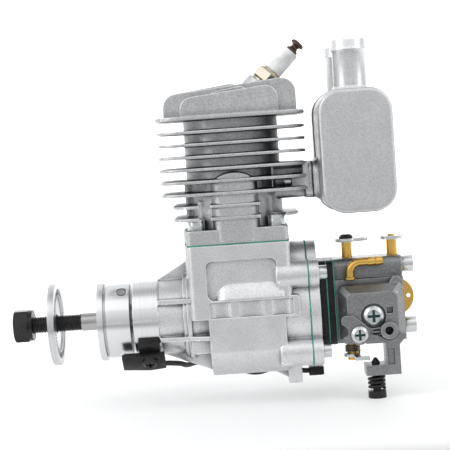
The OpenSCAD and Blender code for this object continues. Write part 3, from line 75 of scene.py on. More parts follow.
# Bare numbers are in mm from here on, unless they say otherwise. These stand in the part's source too.
THREAD_FRONT, THREAD_REAR, THREAD_R = -150.5, -119.1, 4.4
PLUG_SEAT = Matrix.Translation(Vector((-20.8, 0, 112.4)) * MM) @ Matrix.Rotation(math.radians(45), 4, "Y")
MAGNET_ANGLE = 52.6
LEAD_WIDTH = 2.6 * MM
LEAD_ROUTE = [
    (-77.6, -13.2, -21.5), (-75.4, -13, -21.6), (-73.2, -12, -22), (-71.3, -10.2, -22.5), (-69.9, -7.6, -23.3),
    (-68.8, -4.6, -24.3), (-67.7, -0.6, -25.1), (-66.2, 4, -25.6), (-63.6, 9.6, -25.9), (-59, 14.6, -26.7),
    (-53.6, 17.4, -28.2), (-48, 17.2, -29), (-43, 14.8, -30.4), (-38, 11.4, -32.4), (-33, 9.8, -33),
    (-28, 11, -32.4), (-23, 13.6, -31.2), (-18, 14, -30.8), (-13.4, 10.6, -32), (-9.8, 7, -33), (-6.6, 6, -33.2),
]

# Loose triangles of a CAD node are joined within this distance
JOIN_WITHIN = 0.002 * MM
# Edges sharper than this many degrees stay sharp
EDGE_ANGLE = 30
BLACK, WHITE = (0, 0, 0), (1, 1, 1)


def make_camera():
    """The camera stands square to the crankshaft, rolled a little, and looks down by a few degrees."""
    across, down = DEPTH_POINT[0] - PHOTO_SIZE / 2, PHOTO_SIZE / 2 - DEPTH_POINT[1]
    right = Vector((math.cos(CAMERA_ROLL), 0, -math.sin(CAMERA_ROLL)))
    up = Vector((math.sin(CAMERA_ROLL), 0, math.cos(CAMERA_ROLL)))
    ahead = (Vector((0, 1, 0)) - right * across / FOCAL_PIXELS - up * down / FOCAL_PIXELS).normalized()
    right = (right - ahead * right.dot(ahead)).normalized()
    up = right.cross(ahead)
    data = bpy.data.cameras.new("camera")
    data.sensor_width = FILM_WIDTH
    data.lens = FOCAL_PIXELS / PHOTO_SIZE * data.sensor_width
    camera = bpy.data.objects.new("camera", data)
    bpy.context.scene.collection.objects.link(camera)
    turn = Matrix((right, up, -ahead)).transposed().to_4x4()
    camera.matrix_world = Matrix.Translation(CAMERA_PLACE) @ turn
    bpy.context.scene.camera = camera


def smooth_route(points, steps=4):
    """The same route with soft corners, going through every point."""
    points = [Vector(p) * MM for p in points]
    ends = [points[0] * 2 - points[1]] + points + [points[-1] * 2 - points[-2]]
    route = []
    for a, b, c, d in zip(ends, ends[1:], ends[2:], ends[3:]):
        for i in range(steps):
            t = i / steps
            route.append(0.5 * (2 * b + (c - a) * t + (2 * a - 5 * b + 4 * c - d) * t * t
                                + (3 * b - a - 3 * c + d) * t ** 3))
    return route + [points[-1]]


def make_lead():
    """The sensor's thin black lead, from the bar under the nose to its connector behind the foot."""
    route = smooth_route(LEAD_ROUTE)
    data = bpy.data.curves.new("sensor_lead", "CURVE")
    data.dimensions = "3D"
    # Blender adds each point's radius to a curve's box, so the points hold the real radius and the bevel is 1
    data.bevel_depth = 1
    data.bevel_resolution = 5
    data.use_fill_caps = True
    line = data.splines.new("POLY")
    line.points.add(len(route) - 1)
    for point, place in zip(line.points, route):
        point.co = (*place, 1)
        point.radius = LEAD_WIDTH / 2
    lead = bpy.data.objects.new("sensor_lead", data)
    bpy.context.scene.collection.objects.link(lead)
    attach(lead, NODE_BODY["sensor_cable"])
    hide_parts("sensor_cable")
    return lead


make_camera()
lead = make_lead()


def deselect():
    bpy.ops.object.select_all(action="DESELECT")


def make_active(piece):
    """Selects one piece alone and makes it the active one."""
    deselect()
    piece.select_set(True)
    bpy.context.view_layer.objects.active = piece


def settle(piece):
    """Puts the piece's place into its mesh, so that its object sits at the origin."""
    make_active(piece)
    bpy.ops.object.transform_apply(location=True, rotation=True, scale=True)


def put(piece, matrix):
    """Moves a piece, and puts the move into its mesh."""
    piece.matrix_world = matrix @ piece.matrix_world
    settle(piece)


def shift(x, y, z):
    """A move by that many mm."""
    return Matrix.Translation(Vector((x, y, z)) * MM)


def apply_all(piece):
    """Applies every modifier in turn."""
    make_active(piece)
    for modifier in list(piece.modifiers):
        bpy.ops.object.modifier_apply(modifier=modifier.name)


def smooth(piece, angle=EDGE_ANGLE):
    """Shades a piece smooth, apart from its sharp edges."""
    make_active(piece)
    bpy.ops.object.shade_smooth_by_angle(angle=math.radians(angle))


def edit_all():
    """Goes into edit mode with all of the active piece selected."""
    bpy.ops.object.mode_set(mode="EDIT")
    bpy.ops.mesh.select_all(action="SELECT")


def edit_where(piece, test):
    """Goes into edit mode with the points selected whose place passes the test."""
    bpy.ops.object.mode_set(mode="EDIT")
    bm = bmesh.from_edit_mesh(piece.data)
    for vertex in bm.verts:
        vertex.select_set(test(vertex.co))
    bm.select_flush_mode()
    bmesh.update_edit_mesh(piece.data)


def end_edit():
    bpy.ops.object.mode_set(mode="OBJECT")


def face_out():
    """Turns all faces outwards and leaves edit mode."""
    bpy.ops.mesh.select_all(action="SELECT")
    bpy.ops.mesh.normals_make_consistent(inside=False)
    end_edit()


def extrude(x, y, z):
    """Draws the selected faces out by that many mm."""
    bpy.ops.mesh.extrude_region_move(TRANSFORM_OT_translate={"value": (x * MM, y * MM, z * MM)})


def paint_where(piece, material, test):
    """Gives a second finish to the faces whose middle passes the test."""
    piece.data.materials.append(material)
    for face in piece.data.polygons:
        face.material_index = int(test(face.center))


def off_axis(place):
    """The distance of a place from the crankshaft's axis."""
    return math.hypot(place.y, place.z)


def box_mm(node):
    """The low and high corners of a CAD node's box, in mm."""
    return (Vector(corner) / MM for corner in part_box(node))


def centre_of(node):
    low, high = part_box(node)
    return (Vector(low) + Vector(high)) / 2


def copy_of(node, name):
    """A copy of a CAD node with its loose triangles joined and its shading cleared."""
    piece = NODES[node].copy()
    piece.data = NODES[node].data.copy()
    piece.name = name
    piece.parent = None
    for key in list(piece.keys()):
        del piece[key]
    bpy.context.scene.collection.objects.link(piece)
    make_active(piece)
    edit_all()
    bpy.ops.mesh.remove_doubles(threshold=JOIN_WITHIN)
    end_edit()
    bpy.ops.mesh.customdata_custom_splitnormals_clear()
    return piece


def seat(piece, node, material):
    """Gives a piece its finish and puts it in the place of a CAD node."""
    piece.data.materials.clear()
    piece.data.materials.append(material)
    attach(piece, NODE_BODY[node])
    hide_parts(node)


def cast(node, material, voxel, passes, triangles):
    """A casting: the CAD form with its corners and hollows rounded as a mould leaves them."""
    piece = copy_of(node, node + "_casting")
    piece.data.remesh_voxel_size = voxel * MM
    piece.data.remesh_voxel_adaptivity = 0
    make_active(piece)
    bpy.ops.object.voxel_remesh()
    soften = piece.modifiers.new("soften", "SMOOTH")
    soften.factor = 0.5
    soften.iterations = passes
    thin = piece.modifiers.new("thin", "DECIMATE")
    count = 2 * len(piece.data.polygons)
    thin.ratio = min(1, triangles / count)
    apply_all(piece)
    bpy.ops.object.shade_smooth()
    seat(piece, node, material)
    return piece


def turned(node, material, bevel):
    """A turned or milled piece: the CAD form with a fine bevel on its edges."""
    piece = copy_of(node, node + "_turned")
    edge = piece.modifiers.new("edge", "BEVEL")
    edge.width = bevel * MM
    edge.segments = 2
    edge.limit_method = "ANGLE"
    edge.angle_limit = math.radians(EDGE_ANGLE)
    apply_all(piece)
    smooth(piece)
    seat(piece, node, material)
    return piece


def fill_ramp(made, stops):
    """Gives a colour ramp node its stops, each one a place and a colour."""
    elements = made.color_ramp.elements
    while len(elements) < len(stops):
        elements.new(0.5)
    for element, (place, colour) in zip(elements, stops):
        element.position = place
        element.color = (*colour, 1)


def grey(value, tint=0.012):
    """A grey with a cool tint."""
    return (value * (1 - tint), value, value * (1 + tint))


class Finish:
    """A procedural material with its node tree in short calls."""

    def __init__(self, name):
        self.material = bpy.data.materials.new(name)
        self.material.use_nodes = True
        self.tree = self.material.node_tree
        self.shader = self.tree.nodes["Principled BSDF"]
        self.coordinates = self.node("ShaderNodeTexCoord").outputs["Object"]

    def node(self, kind, **settings):
        made = self.tree.nodes.new(kind)
        for key, value in settings.items():
            setattr(made, key, value)
        return made

    def link(self, source, target):
        self.tree.links.new(source, target)

    def feed(self, socket, value):
        """Puts a number, a colour or another node's output into a socket."""
        if isinstance(value, (int, float)):
            socket.default_value = value
        elif isinstance(value, tuple):
            socket.default_value = (*value, 1)
        else:
            self.link(value, socket)

    def set(self, **values):
        """Sets values of the shader: Base_Color is its Base Color."""
        for key, value in values.items():
            self.shader.inputs[key.replace("_", " ")].default_value = value

    def colour(self, source):
        self.link(source, self.shader.inputs["Base Color"])

    def roughness(self, source):
        self.link(source, self.shader.inputs["Roughness"])

    def bump(self, height, distance, strength):
        made = self.node("ShaderNodeBump")
        made.inputs["Distance"].default_value = distance * MM
        made.inputs["Strength"].default_value = strength
        self.link(height, made.inputs["Height"])
        self.link(made.outputs["Normal"], self.shader.inputs["Normal"])

    def axes(self):
        """The object coordinates X, Y and Z, one by one."""
        made = self.node("ShaderNodeSeparateXYZ")
        self.link(self.coordinates, made.inputs[0])
        return made.outputs

    def noise(self, scale, detail=3, source=None):
        made = self.node("ShaderNodeTexNoise")
        made.inputs["Scale"].default_value = scale
        made.inputs["Detail"].default_value = detail
        self.link(source or self.coordinates, made.inputs["Vector"])
        return made.outputs["Fac"]

    def ramp(self, source, stops):
        made = self.node("ShaderNodeValToRGB")
        fill_ramp(made, stops)
        self.link(source, made.inputs["Fac"])
        return made.outputs["Color"]

    def math(self, operation, *values):
        made = self.node("ShaderNodeMath", operation=operation)
        for socket, value in zip(made.inputs, values):
            self.feed(socket, value)
        return made.outputs[0]

    def mix(self, factor, a, b, blend="MIX"):
        """Mixes two colours: 0, 6, 7 and 2 are the node's sockets for colours."""
        made = self.node("ShaderNodeMix", data_type="RGBA", blend_type=blend)
        for socket, value in ((made.inputs[0], factor), (made.inputs[6], a), (made.inputs[7], b)):
            self.feed(socket, value)
        return made.outputs[2]

    def times(self, a, b):
        return self.mix(1, a, b, "MULTIPLY")

    def pointiness(self):
        """About 0.5 on the flats, more on outer edges and less in inner corners."""
        return self.node("ShaderNodeNewGeometry").outputs["Pointiness"]

    def wear_and_highlight_edges(self):
        """A mask for wear and painted highlight: black on the flats, white on outer edges."""
        return self.ramp(self.pointiness(), [(0.52, BLACK), (0.6, WHITE)])

    def painted_hollow_shade(self, reach, start, tone):
        """Painted shade: white in the open, the tone where other faces stand within that reach."""
        made = self.node("ShaderNodeAmbientOcclusion", samples=8)
        made.inputs["Distance"].default_value = reach * MM
        return self.ramp(made.outputs["AO"], [(start, grey(tone)), (0.8, WHITE)])


def cast_alloy(name, light, dark, edge, rough, grain=1300, hollow_shade_tone=0.38):
    """Blasted casting: fine grain, cloudy tone, edges brighter by wear and painted highlight, and painted shade in
    hollows and inner corners.
    """
    finish = Finish(name)
    cloud = finish.noise(90, 4)
    speck = finish.noise(grain, 2)
    tone = finish.ramp(cloud, [(0.35, grey(dark, 0.01)), (0.65, grey(light, 0.01))])
    fine = finish.ramp(speck, [(0.32, grey(dark * 0.7)), (0.62, grey(light * 1.06))])
    both = finish.mix(0.5, tone, fine)
    # Outer edges lighter: partly wear, partly painted highlight
    edges_worn_and_lit = finish.mix(finish.wear_and_highlight_edges(), both, grey(edge))
    # Painted shade in hollows, where other faces stand within 7 mm
    hollow_shade = finish.painted_hollow_shade(7, 0.25, hollow_shade_tone)
    # Painted shade in inner corners, where the pointiness is low
    crease_shade = finish.ramp(finish.pointiness(), [(0.42, grey(0.3)), (0.488, WHITE)])
    finish.colour(finish.times(finish.times(edges_worn_and_lit, hollow_shade), crease_shade))
    finish.roughness(finish.ramp(finish.noise(500), [(0.3, grey(rough - 0.07)), (0.7, grey(rough + 0.07))]))
    finish.set(Metallic=1.0)
    finish.bump(speck, 0.08, 0.6)
    return finish.material


def turned_alloy(name, tone, rough):
    """Turned metal: fine rings round the crankshaft axis, with painted shade in its corners."""
    finish = Finish(name)
    x, y, z = finish.axes()
    ring = finish.math("SQRT", finish.math("ADD", finish.math("MULTIPLY", y, y), finish.math("MULTIPLY", z, z)))
    feed = finish.node("ShaderNodeCombineXYZ")
    finish.link(x, feed.inputs[0])
    finish.link(ring, feed.inputs[1])
    line = finish.noise(5000, 2, feed.outputs[0])
    # Painted shade in corners, where other faces stand within 1.6 mm
    hollow_shade = finish.painted_hollow_shade(1.6, 0.3, 0.3)
    finish.colour(finish.times(finish.ramp(line, [(0.3, grey(tone * 0.9)), (0.7, grey(tone))]), hollow_shade))
    finish.roughness(finish.ramp(line, [(0.3, grey(rough + 0.06)), (0.7, grey(rough))]))
    finish.set(Metallic=1.0, Anisotropic=0.5)
    finish.bump(line, 0.003, 0.8)
    return finish.material


def plated(name, tint, rough, cloud=0.05):
    """Plated steel: bright, with a faint cloud of colour."""
    finish = Finish(name)
    blotch = finish.noise(260)
    low = tuple(c * (1 - cloud) for c in tint)
    finish.colour(finish.ramp(blotch, [(0.35, low), (0.65, tint)]))
    finish.roughness(finish.ramp(finish.noise(120, 2), [(0.3, grey(rough - 0.02)), (0.7, grey(rough + 0.03))]))
    finish.set(Metallic=1.0)
    return finish.material


def coated(name, colour, rough, metallic=0.0, grain=1500, depth=0.02, rib=0.0, shine=0.5):
    """Plastic, rubber, paint or black oxide with a fine grain, or ribbed every few mm."""
    finish = Finish(name)
    speck = finish.noise(grain)
    low = tuple(c * 0.75 for c in colour)
    high = tuple(min(1, c * 1.25 + 0.004) for c in colour)
    finish.colour(finish.ramp(finish.noise(150, 4), [(0.3, low), (0.7, high)]))
    finish.roughness(finish.ramp(speck, [(0.3, grey(rough - 0.06)), (0.7, grey(rough + 0.08))]))
    finish.set(Metallic=metallic, Specular_IOR_Level=shine)
    if rib:
        z = finish.axes()[2]
        wave = finish.math("SINE", finish.math("MULTIPLY", z, 2 * math.pi / (rib * MM)))
        height = finish.ramp(finish.math("MULTIPLY_ADD", wave, 0.5, 0.5), [(0.2, BLACK), (0.4, WHITE)])
        finish.bump(height, 0.35, 0.8)
    else:
        finish.bump(speck, depth, 0.5)
    return finish.material


BLASTED = cast_alloy("blasted_alloy", 0.64, 0.54, 0.92, 0.4)
CASE_ALLOY = cast_alloy("case_alloy", 0.78, 0.68, 1.0, 0.42, 1900, hollow_shade_tone=0.24)
MUFFLER_ALLOY = cast_alloy("muffler_alloy", 0.67, 0.62, 0.88, 0.44, 1800)
PIPE_ALLOY = cast_alloy("pipe_alloy", 0.86, 0.76, 1.0, 0.36, 2200, hollow_shade_tone=0.3)
CARB_ALLOY = cast_alloy("carburettor_alloy", 0.3, 0.24, 0.56, 0.36)
COVER_ALLOY = cast_alloy("cover_alloy", 0.33, 0.27, 0.58, 0.38)
TURNED = turned_alloy("turned_alloy", 0.8, 0.22)
WASHER_ALLOY = turned_alloy("washer_alloy", 0.66, 0.26)
GROUND = plated("ground_steel", (0.46, 0.45, 0.45), 0.24)
ZINC = plated("zinc_plate", (0.66, 0.68, 0.68), 0.24)
NICKEL = plated("nickel_plate", (0.54, 0.48, 0.4), 0.3)
BRASS = plated("brass", (0.78, 0.48, 0.12), 0.24, 0.1)
BLACK_STEEL = coated("black_oxide", (0.018, 0.018, 0.019), 0.28, 0.5, depth=0.005)
BRONZED = coated("bronzed_steel", (0.1, 0.065, 0.05), 0.3, 0.85)
# Dark green: painted shade inside screw recesses
RECESS_SHADE = coated("recess_shade_tint", (0.03, 0.1, 0.1), 0.4, 0.5)
SPRING = coated("spring_steel", (0.2, 0.17, 0.12), 0.3, 0.9)
PLASTIC = coated("black_plastic", (0.008, 0.008, 0.009), 0.34, shine=0.25)
RIBBED = coated("ribbed_plastic", (0.008, 0.008, 0.009), 0.34, rib=5.2, shine=0.3)
RUBBER = coated("lead_rubber", (0.014, 0.014, 0.014), 0.55)
GASKET = coated("gasket_fibre", (0.05, 0.3, 0.23), 0.7)
DARK_GASKET = coated("graphite_gasket", (0.045, 0.07, 0.065), 0.6)
CERAMIC = coated("glazed_ceramic", (0.78, 0.78, 0.78), 0.14, grain=400, depth=0.004)

SLOT_FINISH = {
    "cast_aluminium": BLASTED, "machined_aluminium": TURNED, "carb_casting": CARB_ALLOY,
    "cover_casting": COVER_ALLOY, "bright_steel": GROUND, "zinc_steel": ZINC, "nickel": NICKEL,
    "black_steel": BLACK_STEEL, "brass": BRASS, "gasket_green": GASKET, "black_plastic": PLASTIC,
    "rubber": RUBBER, "ceramic": CERAMIC,
}
# Nodes that look other than the rest of their slot
NODE_FINISH = {
    "crankcase": CASE_ALLOY, "backplate": CASE_ALLOY, "mixture_needle": BLACK_STEEL, "prop_washer": WASHER_ALLOY,
    "muffler": MUFFLER_ALLOY, "muffler_pipes": PIPE_ALLOY, "idle_bracket": CARB_ALLOY, "plug_terminal": BRONZED,
    "throttle_spring": SPRING, "reed_block": RIBBED, "insulator": RIBBED, "exhaust_gasket": DARK_GASKET,
}


def finish_of(node):
    return NODE_FINISH.get(node, SLOT_FINISH[NODE_SLOT[node]])


lead.data.materials.append(RUBBER)
for node, cad in NODES.items():
    cad.data.materials.clear()
    cad.data.materials.append(finish_of(node))

# Castings, with the voxel size, smoothing passes and triangles of each
CASTINGS = {
    "crankcase": (0.42, 3, 190000),
    "cylinder_block": (0.45, 3, 195000),
    "muffler": (0.6, 4, 80000),
    "backplate": (0.4, 3, 40000),
    "carb_body": (0.35, 3, 60000),
    "pump_cover": (0.3, 3, 50000),
    "idle_bracket": (0.25, 3, 30000),
    "metering_cover": (0.35, 3, 30000),
}
# The nose's front is turned bright: all of it before NOSE_FACE_X, and its rim as far back as NOSE_RIM_X
NOSE_FACE_X, NOSE_RIM_X, NOSE_RIM_R = -79.5 * MM, -78.9 * MM, 18.6 * MM


def on_bright_nose(place):
    return place.x < NOSE_FACE_X or (place.x < NOSE_RIM_X and off_axis(place) > NOSE_RIM_R)


for node, (voxel, passes, triangles) in CASTINGS.items():
    casting = cast(node, finish_of(node), voxel, passes, triangles)
    if node == "crankcase":
        paint_where(casting, TURNED, on_bright_nose)

# Turned and milled pieces, with the bevel of their edges
BEVELS = {
    "prop_hub": 0.35, "prop_nut": 0.35, "prop_washer": 0.12, "sensor_holder": 0.3, "sensor_bar": 0.35,
    "sensor_connector": 0.5, "reed_block": 0.25, "insulator": 0.25, "carb_bolts": 0.25, "backplate_screws": 0.2,
    "cylinder_bolts": 0.2, "muffler_bolts": 0.2, "stop_lever": 0.2, "throttle_arm": 0.2, "muffler_pipes": 0.3,
}
for node, bevel in BEVELS.items():
    turned(node, finish_of(node), bevel)


def turn_up(name, rings, sides=48):
    """A turned form on the Z axis: the rings are its heights and radii, from the bottom up."""
    height, radius = rings[0]
    deselect()
    bpy.ops.mesh.primitive_circle_add(vertices=sides, radius=radius * MM, fill_type="NGON",
                                      location=(0, 0, height * MM))
    piece = bpy.context.active_object
    piece.name = name
    settle(piece)
    edit_all()
    for z, r in rings[1:]:
        extrude(0, 0, z - height)
        bpy.ops.transform.resize(value=(r / radius, r / radius, 1), center_override=(0, 0, z * MM))
        height, radius = z, r
    face_out()
    return piece


def wind(name, radius, wire, low, high, turns, sides, steps=28, axis="Z"):
    """A coil round an axis through the origin: a ring of wire, wound by a screw modifier."""
    deselect()
    start = (low * MM, 0, radius * MM) if axis == "X" else (radius * MM, 0, low * MM)
    bpy.ops.mesh.primitive_circle_add(vertices=sides, radius=wire * MM, location=start, rotation=(math.pi / 2, 0, 0))
    piece = bpy.context.active_object
    piece.name = name
    settle(piece)
    coil = piece.modifiers.new("wind", "SCREW")
    coil.axis = axis
    coil.steps = steps
    coil.render_steps = steps
    coil.iterations = math.ceil(turns)
    coil.angle = 2 * math.pi * turns / coil.iterations
    coil.screw_offset = (high - low) * MM / coil.iterations
    coil.use_merge_vertices = False
    apply_all(piece)
    edit_all()
    bpy.ops.mesh.remove_doubles(threshold=0.01 * MM)
    bpy.ops.mesh.fill_holes(sides=sides + 1)
    bpy.ops.mesh.normals_make_consistent(inside=False)
    end_edit()
    return piece


def join(pieces, name):
    """Joins pieces into the first one."""
    deselect()
    for piece in pieces:
        piece.select_set(True)
    bpy.context.view_layer.objects.active = pieces[0]
    bpy.ops.object.join()
    pieces[0].name = name
    return pieces[0]


# How much of its radius the shaft's nose keeps under its thread, and how high the thread's ridge stands
NOSE_SLIM, THREAD_DEEP, THREAD_TURNS = 0.86, 0.5, 24


def make_crankshaft():
    """The crankshaft with its nose cut down under the thread, and the thread wound on it."""
    shaft = copy_of("crankshaft", "crankshaft_nose")
    rear, around = (THREAD_REAR + 0.01) * MM, (THREAD_R + 0.04) * MM
    edit_where(shaft, lambda place: place.x < rear and off_axis(place) < around)
    bpy.ops.transform.resize(value=(1, NOSE_SLIM, NOSE_SLIM), center_override=(0, 0, 0))
    end_edit()
    smooth(shaft)
    seat(shaft, "crankshaft", GROUND)
    paint_where(shaft, BLACK_STEEL, lambda place: place.x < (THREAD_REAR - 0.02) * MM)
    thread = wind("crankshaft_thread", THREAD_R - THREAD_DEEP, THREAD_DEEP, THREAD_FRONT + THREAD_DEEP,
                  THREAD_REAR - THREAD_DEEP, THREAD_TURNS, sides=3, steps=32, axis="X")
    thread.data.materials.append(BLACK_STEEL)
    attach(thread, NODE_BODY["crankshaft"])


# Each spring's radius to the middle of its wire, the wire's radius, its turns and finish
SPRINGS = {"idle_spring": (3.62, 0.84, 3.3, BLACK_STEEL), "throttle_spring": (3.5, 0.4, 4, SPRING)}


def make_springs():
    """The coil on the idle screw and the return spring of the throttle."""
    for node, (radius, wire, turns, material) in SPRINGS.items():
        low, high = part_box(node)
        middle = centre_of(node)
        coil = wind(node + "_coil", radius, wire, wire, (high[2] - low[2]) / MM - wire, turns, sides=10)
        put(coil, Matrix.Translation((middle.x, middle.y, low[2])))
        bpy.ops.object.shade_smooth()
        seat(coil, node, material)


# The plug's forms: heights above its seat, and radii there
SHELL_RINGS = [
    (-9.5, 4.3), (-9, 4.95), (-1.6, 4.95), (-1.5, 4.3), (-0.1, 4.3), (0, 6.2), (0.2, 6.7), (1.1, 6.7), (1.4, 6.2),
    (1.45, 5.4), (6.9, 5.4), (7, 5.9), (7.3, 6), (7.6, 5.8), (7.7, 5.1), (8, 5.1), (8.1, 5.45), (8.5, 5.4),
    (8.7, 4.9), (8.75, 4.4),
]
HEXAGON_RINGS = [(1.4, 7.3), (1.9, 8.05), (6.5, 8.05), (7, 7.3)]
INSULATOR_RINGS = [
    (-8.5, 3.2), (7.6, 3.2), (8.6, 4.3), (20.6, 4.3), (20.7, 4.22), (20.85, 4.22), (20.95, 4.3), (21.5, 4.3),
    (21.8, 3.9),
]
TERMINAL_RINGS = [
    (21.8, 2.9), (22, 3.12), (22.8, 3.12), (23, 2.95), (23.3, 2.5), (23.8, 2.05), (24.4, 1.8), (25, 1.85),
    (25.4, 2.2), (25.65, 2.9), (25.75, 3.35), (25.9, 3.44), (26.8, 3.44), (27.3, 3.2), (27.7, 2.5), (27.95, 1.2),
]


def make_plug():
    """The plug: nickel shell with its sealing ring, hexagon and rolled collar, white insulator, waisted terminal."""
    body = turn_up("shell_body", SHELL_RINGS)
    hexagon = turn_up("shell_hexagon", HEXAGON_RINGS, sides=6)
    thread = wind("shell_thread", 4.75, 0.35, -8.8, -1.8, 7, sides=3)
    shell = join([body, hexagon, thread], "plug_shell_turned")
    put(shell, PLUG_SEAT)
    smooth(shell)
    seat(shell, "plug_shell", NICKEL)
    insulator = turn_up("plug_insulator_glazed", INSULATOR_RINGS)
    put(insulator, PLUG_SEAT)
    smooth(insulator, 35)
    seat(insulator, "plug_insulator", CERAMIC)
    terminal = turn_up("plug_terminal_spool", TERMINAL_RINGS)
    put(terminal, PLUG_SEAT)
    smooth(terminal, 45)
    seat(terminal, "plug_terminal", BRONZED)


# The fuel pipe: radii of its pipe, bend, foot and barbs, the wall and depth of its bore, and its round forms' sides
PIPE_R, PIPE_BEND_R, PIPE_FOOT_R, BARB_R, BARB_ROOT_R = 2.0, 5.5, 2.7, 2.4, 2.02
PIPE_WALL, PIPE_BORE, PIPE_SIDES = 0.7, 3, 32
# How far each barb's root lies before the pipe's end
BARB_STARTS = (7.3, 3.6)


def make_fuel_pipe():
    """The brass fuel pipe: a collar, a bend swept by a spin, and two barbs."""
    low, high = box_mm("fuel_inlet")
    foot_x, foot_y = low.x + PIPE_FOOT_R, (low.y + high.y) / 2
    rise, reach = high.z - BARB_R - low.z - PIPE_BEND_R, high.x - foot_x
    deselect()
    bpy.ops.mesh.primitive_circle_add(vertices=PIPE_SIDES, radius=PIPE_R * MM, fill_type="NGON")
    pipe = bpy.context.active_object
    edit_all()
    extrude(0, 0, rise)
    bpy.ops.mesh.spin(steps=14, angle=math.pi / 2, center=(PIPE_BEND_R * MM, 0, rise * MM), axis=(0, -1, 0))
    extrude(reach - PIPE_BEND_R, 0, 0)
    bpy.ops.mesh.inset(thickness=PIPE_WALL * MM)
    extrude(-PIPE_BORE, 0, 0)
    bpy.ops.mesh.select_all(action="SELECT")
    bpy.ops.mesh.remove_doubles(threshold=0.005 * MM)
    face_out()
    collar = turn_up("pipe_collar", [(0, 2.5), (0.2, PIPE_FOOT_R), (1.2, PIPE_FOOT_R), (1.5, 2.3)], PIPE_SIDES)
    barbs = []
    for start in (reach - before for before in BARB_STARTS):
        rings = [(start, BARB_ROOT_R), (start + 0.1, BARB_R), (start + 0.5, BARB_R), (start + 3, BARB_ROOT_R)]
        barbs.append(turn_up("pipe_barb", rings, PIPE_SIDES))
    for barb in barbs:
        put(barb, shift(0, 0, rise + PIPE_BEND_R) @ Matrix.Rotation(math.pi / 2, 4, "Y"))
    join([pipe, collar] + barbs, "fuel_pipe")
    put(pipe, shift(foot_x, foot_y, low.z))
    smooth(pipe)
    seat(pipe, "fuel_inlet", BRASS)


# The riveted end stands this far above the lever, and is this much wider than the shaft
RIVET_RISE, RIVET_SPREAD = 0.7 * MM, 1.2


def make_choke_lever():
    """The choke lever, with the end of its brass shaft riveted over it."""
    lever = copy_of("choke_lever", "choke_lever_riveted")
    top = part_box("choke_lever")[1][2]
    face_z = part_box("throttle_arm")[1][2]
    edit_where(lever, lambda place: place.z > top - 0.1 * MM)
    bpy.ops.transform.translate(value=(0, 0, face_z + RIVET_RISE - top))
    bpy.ops.transform.resize(value=(RIVET_SPREAD, RIVET_SPREAD, 1),
                             center_override=(centre_of("choke_shaft").x, 0, 0))
    end_edit()
    smooth(lever)
    seat(lever, "choke_lever", ZINC)
    paint_where(lever, BRASS, lambda place: place.z > face_z + 0.02 * MM)


# The painted shade in a pan screw's recess reaches this part of its head's width from the middle, and starts this
# far in
RECESS_REACH, RECESS_START = 0.315, 0.12


def make_pan_screw(node, thick):
    """A pan head screw, its cross recess painted dark green over most of the head's thickness: painted shade with a
    green tint.
    """
    screw = turned(node, ZINC, 0.14)
    low, high = box_mm(node)
    middle = (low + high) / 2
    reach = (high.x - low.x) * RECESS_REACH

    def in_recess(place):
        place = place / MM
        inside = math.hypot(place.x - middle.x, place.z - middle.z) < reach
        return inside and low.y + RECESS_START < place.y < low.y + thick * 0.65

    # Painted shade: the faces inside the recess are darkened, with a green tint
    paint_where(screw, RECESS_SHADE, in_recess)


# The painted shade in the knurl's grooves, as dark bars: their number, length, width and depth, how far in from the
# rim they start, and their slant
KNURL_COUNT, KNURL_LONG, KNURL_WIDE, KNURL_DEEP, KNURL_INSET, KNURL_SLANT = 56, 3.6, 0.7, 0.16, 3.2, 0.5


def make_knurl_shade():
    """Dark bars in the grooves of the knurl round the washer's rear face: painted shade."""
    low, high = box_mm("prop_washer")
    radius = (high.z - low.z) / 2 - KNURL_INSET - KNURL_LONG / 2
    deselect()
    bpy.ops.mesh.primitive_cube_add(size=1, location=(high.x * MM, 0, radius * MM),
                                    scale=(KNURL_DEEP * MM, KNURL_WIDE * MM, KNURL_LONG * MM))
    groove_shade = bpy.context.active_object
    groove_shade.name = "washer_knurl_shade"
    settle(groove_shade)
    edit_all()
    bpy.ops.mesh.bevel(offset=0.06 * MM, segments=2)
    bpy.ops.transform.rotate(value=KNURL_SLANT, orient_axis="X", center_override=(0, 0, radius * MM))
    bpy.ops.mesh.spin(steps=KNURL_COUNT, angle=2 * math.pi, center=(0, 0, 0), axis=(1, 0, 0), dupli=True)
    face_out()
    smooth(groove_shade)
    # Black: painted shade in the grooves
    groove_shade.data.materials.append(BLACK_STEEL)
    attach(groove_shade, NODE_BODY["prop_washer"])


# The dark ring: its radius, half its thickness, and how far from the crankshaft's axis it lies
DARK_RING_R, DARK_RING_THICK, DARK_RING_REACH = 2.5, 0.24, 18.75


def make_magnet_ring():
    """The dark ring round the hub's magnet."""
    deselect()
    bpy.ops.mesh.primitive_torus_add(major_radius=DARK_RING_R * MM, minor_radius=DARK_RING_THICK * MM,
                                     major_segments=48, minor_segments=8)
    ring = bpy.context.active_object
    ring.name = "magnet_dark_ring"
    angle = math.radians(90 - MAGNET_ANGLE)
    magnet_x = centre_of("hub_magnet").x
    put(ring, Matrix.Translation((magnet_x, 0, 0)) @ Matrix.Rotation(angle, 4, "X") @ shift(0, 0, DARK_RING_REACH))
    smooth(ring, 60)
    ring.data.materials.append(PLASTIC)
    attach(ring, NODE_BODY["prop_hub"])


make_crankshaft()
make_springs()
make_plug()
make_fuel_pipe()
make_choke_lever()
make_knurl_shade()
make_magnet_ring()
make_pan_screw("cover_screw", 3.2)
make_pan_screw("bracket_screw", 2.8)

# The floor, in metres: half its width, its reach in front and behind, its sweep's radius and steps, and its top
FLOOR_HALF, FLOOR_FRONT, FLOOR_REAR, SWEEP_R, SWEEP_STEPS, SWEEP_TOP = 4.0, -1.6, 1.6, 0.8, 12, 2.4
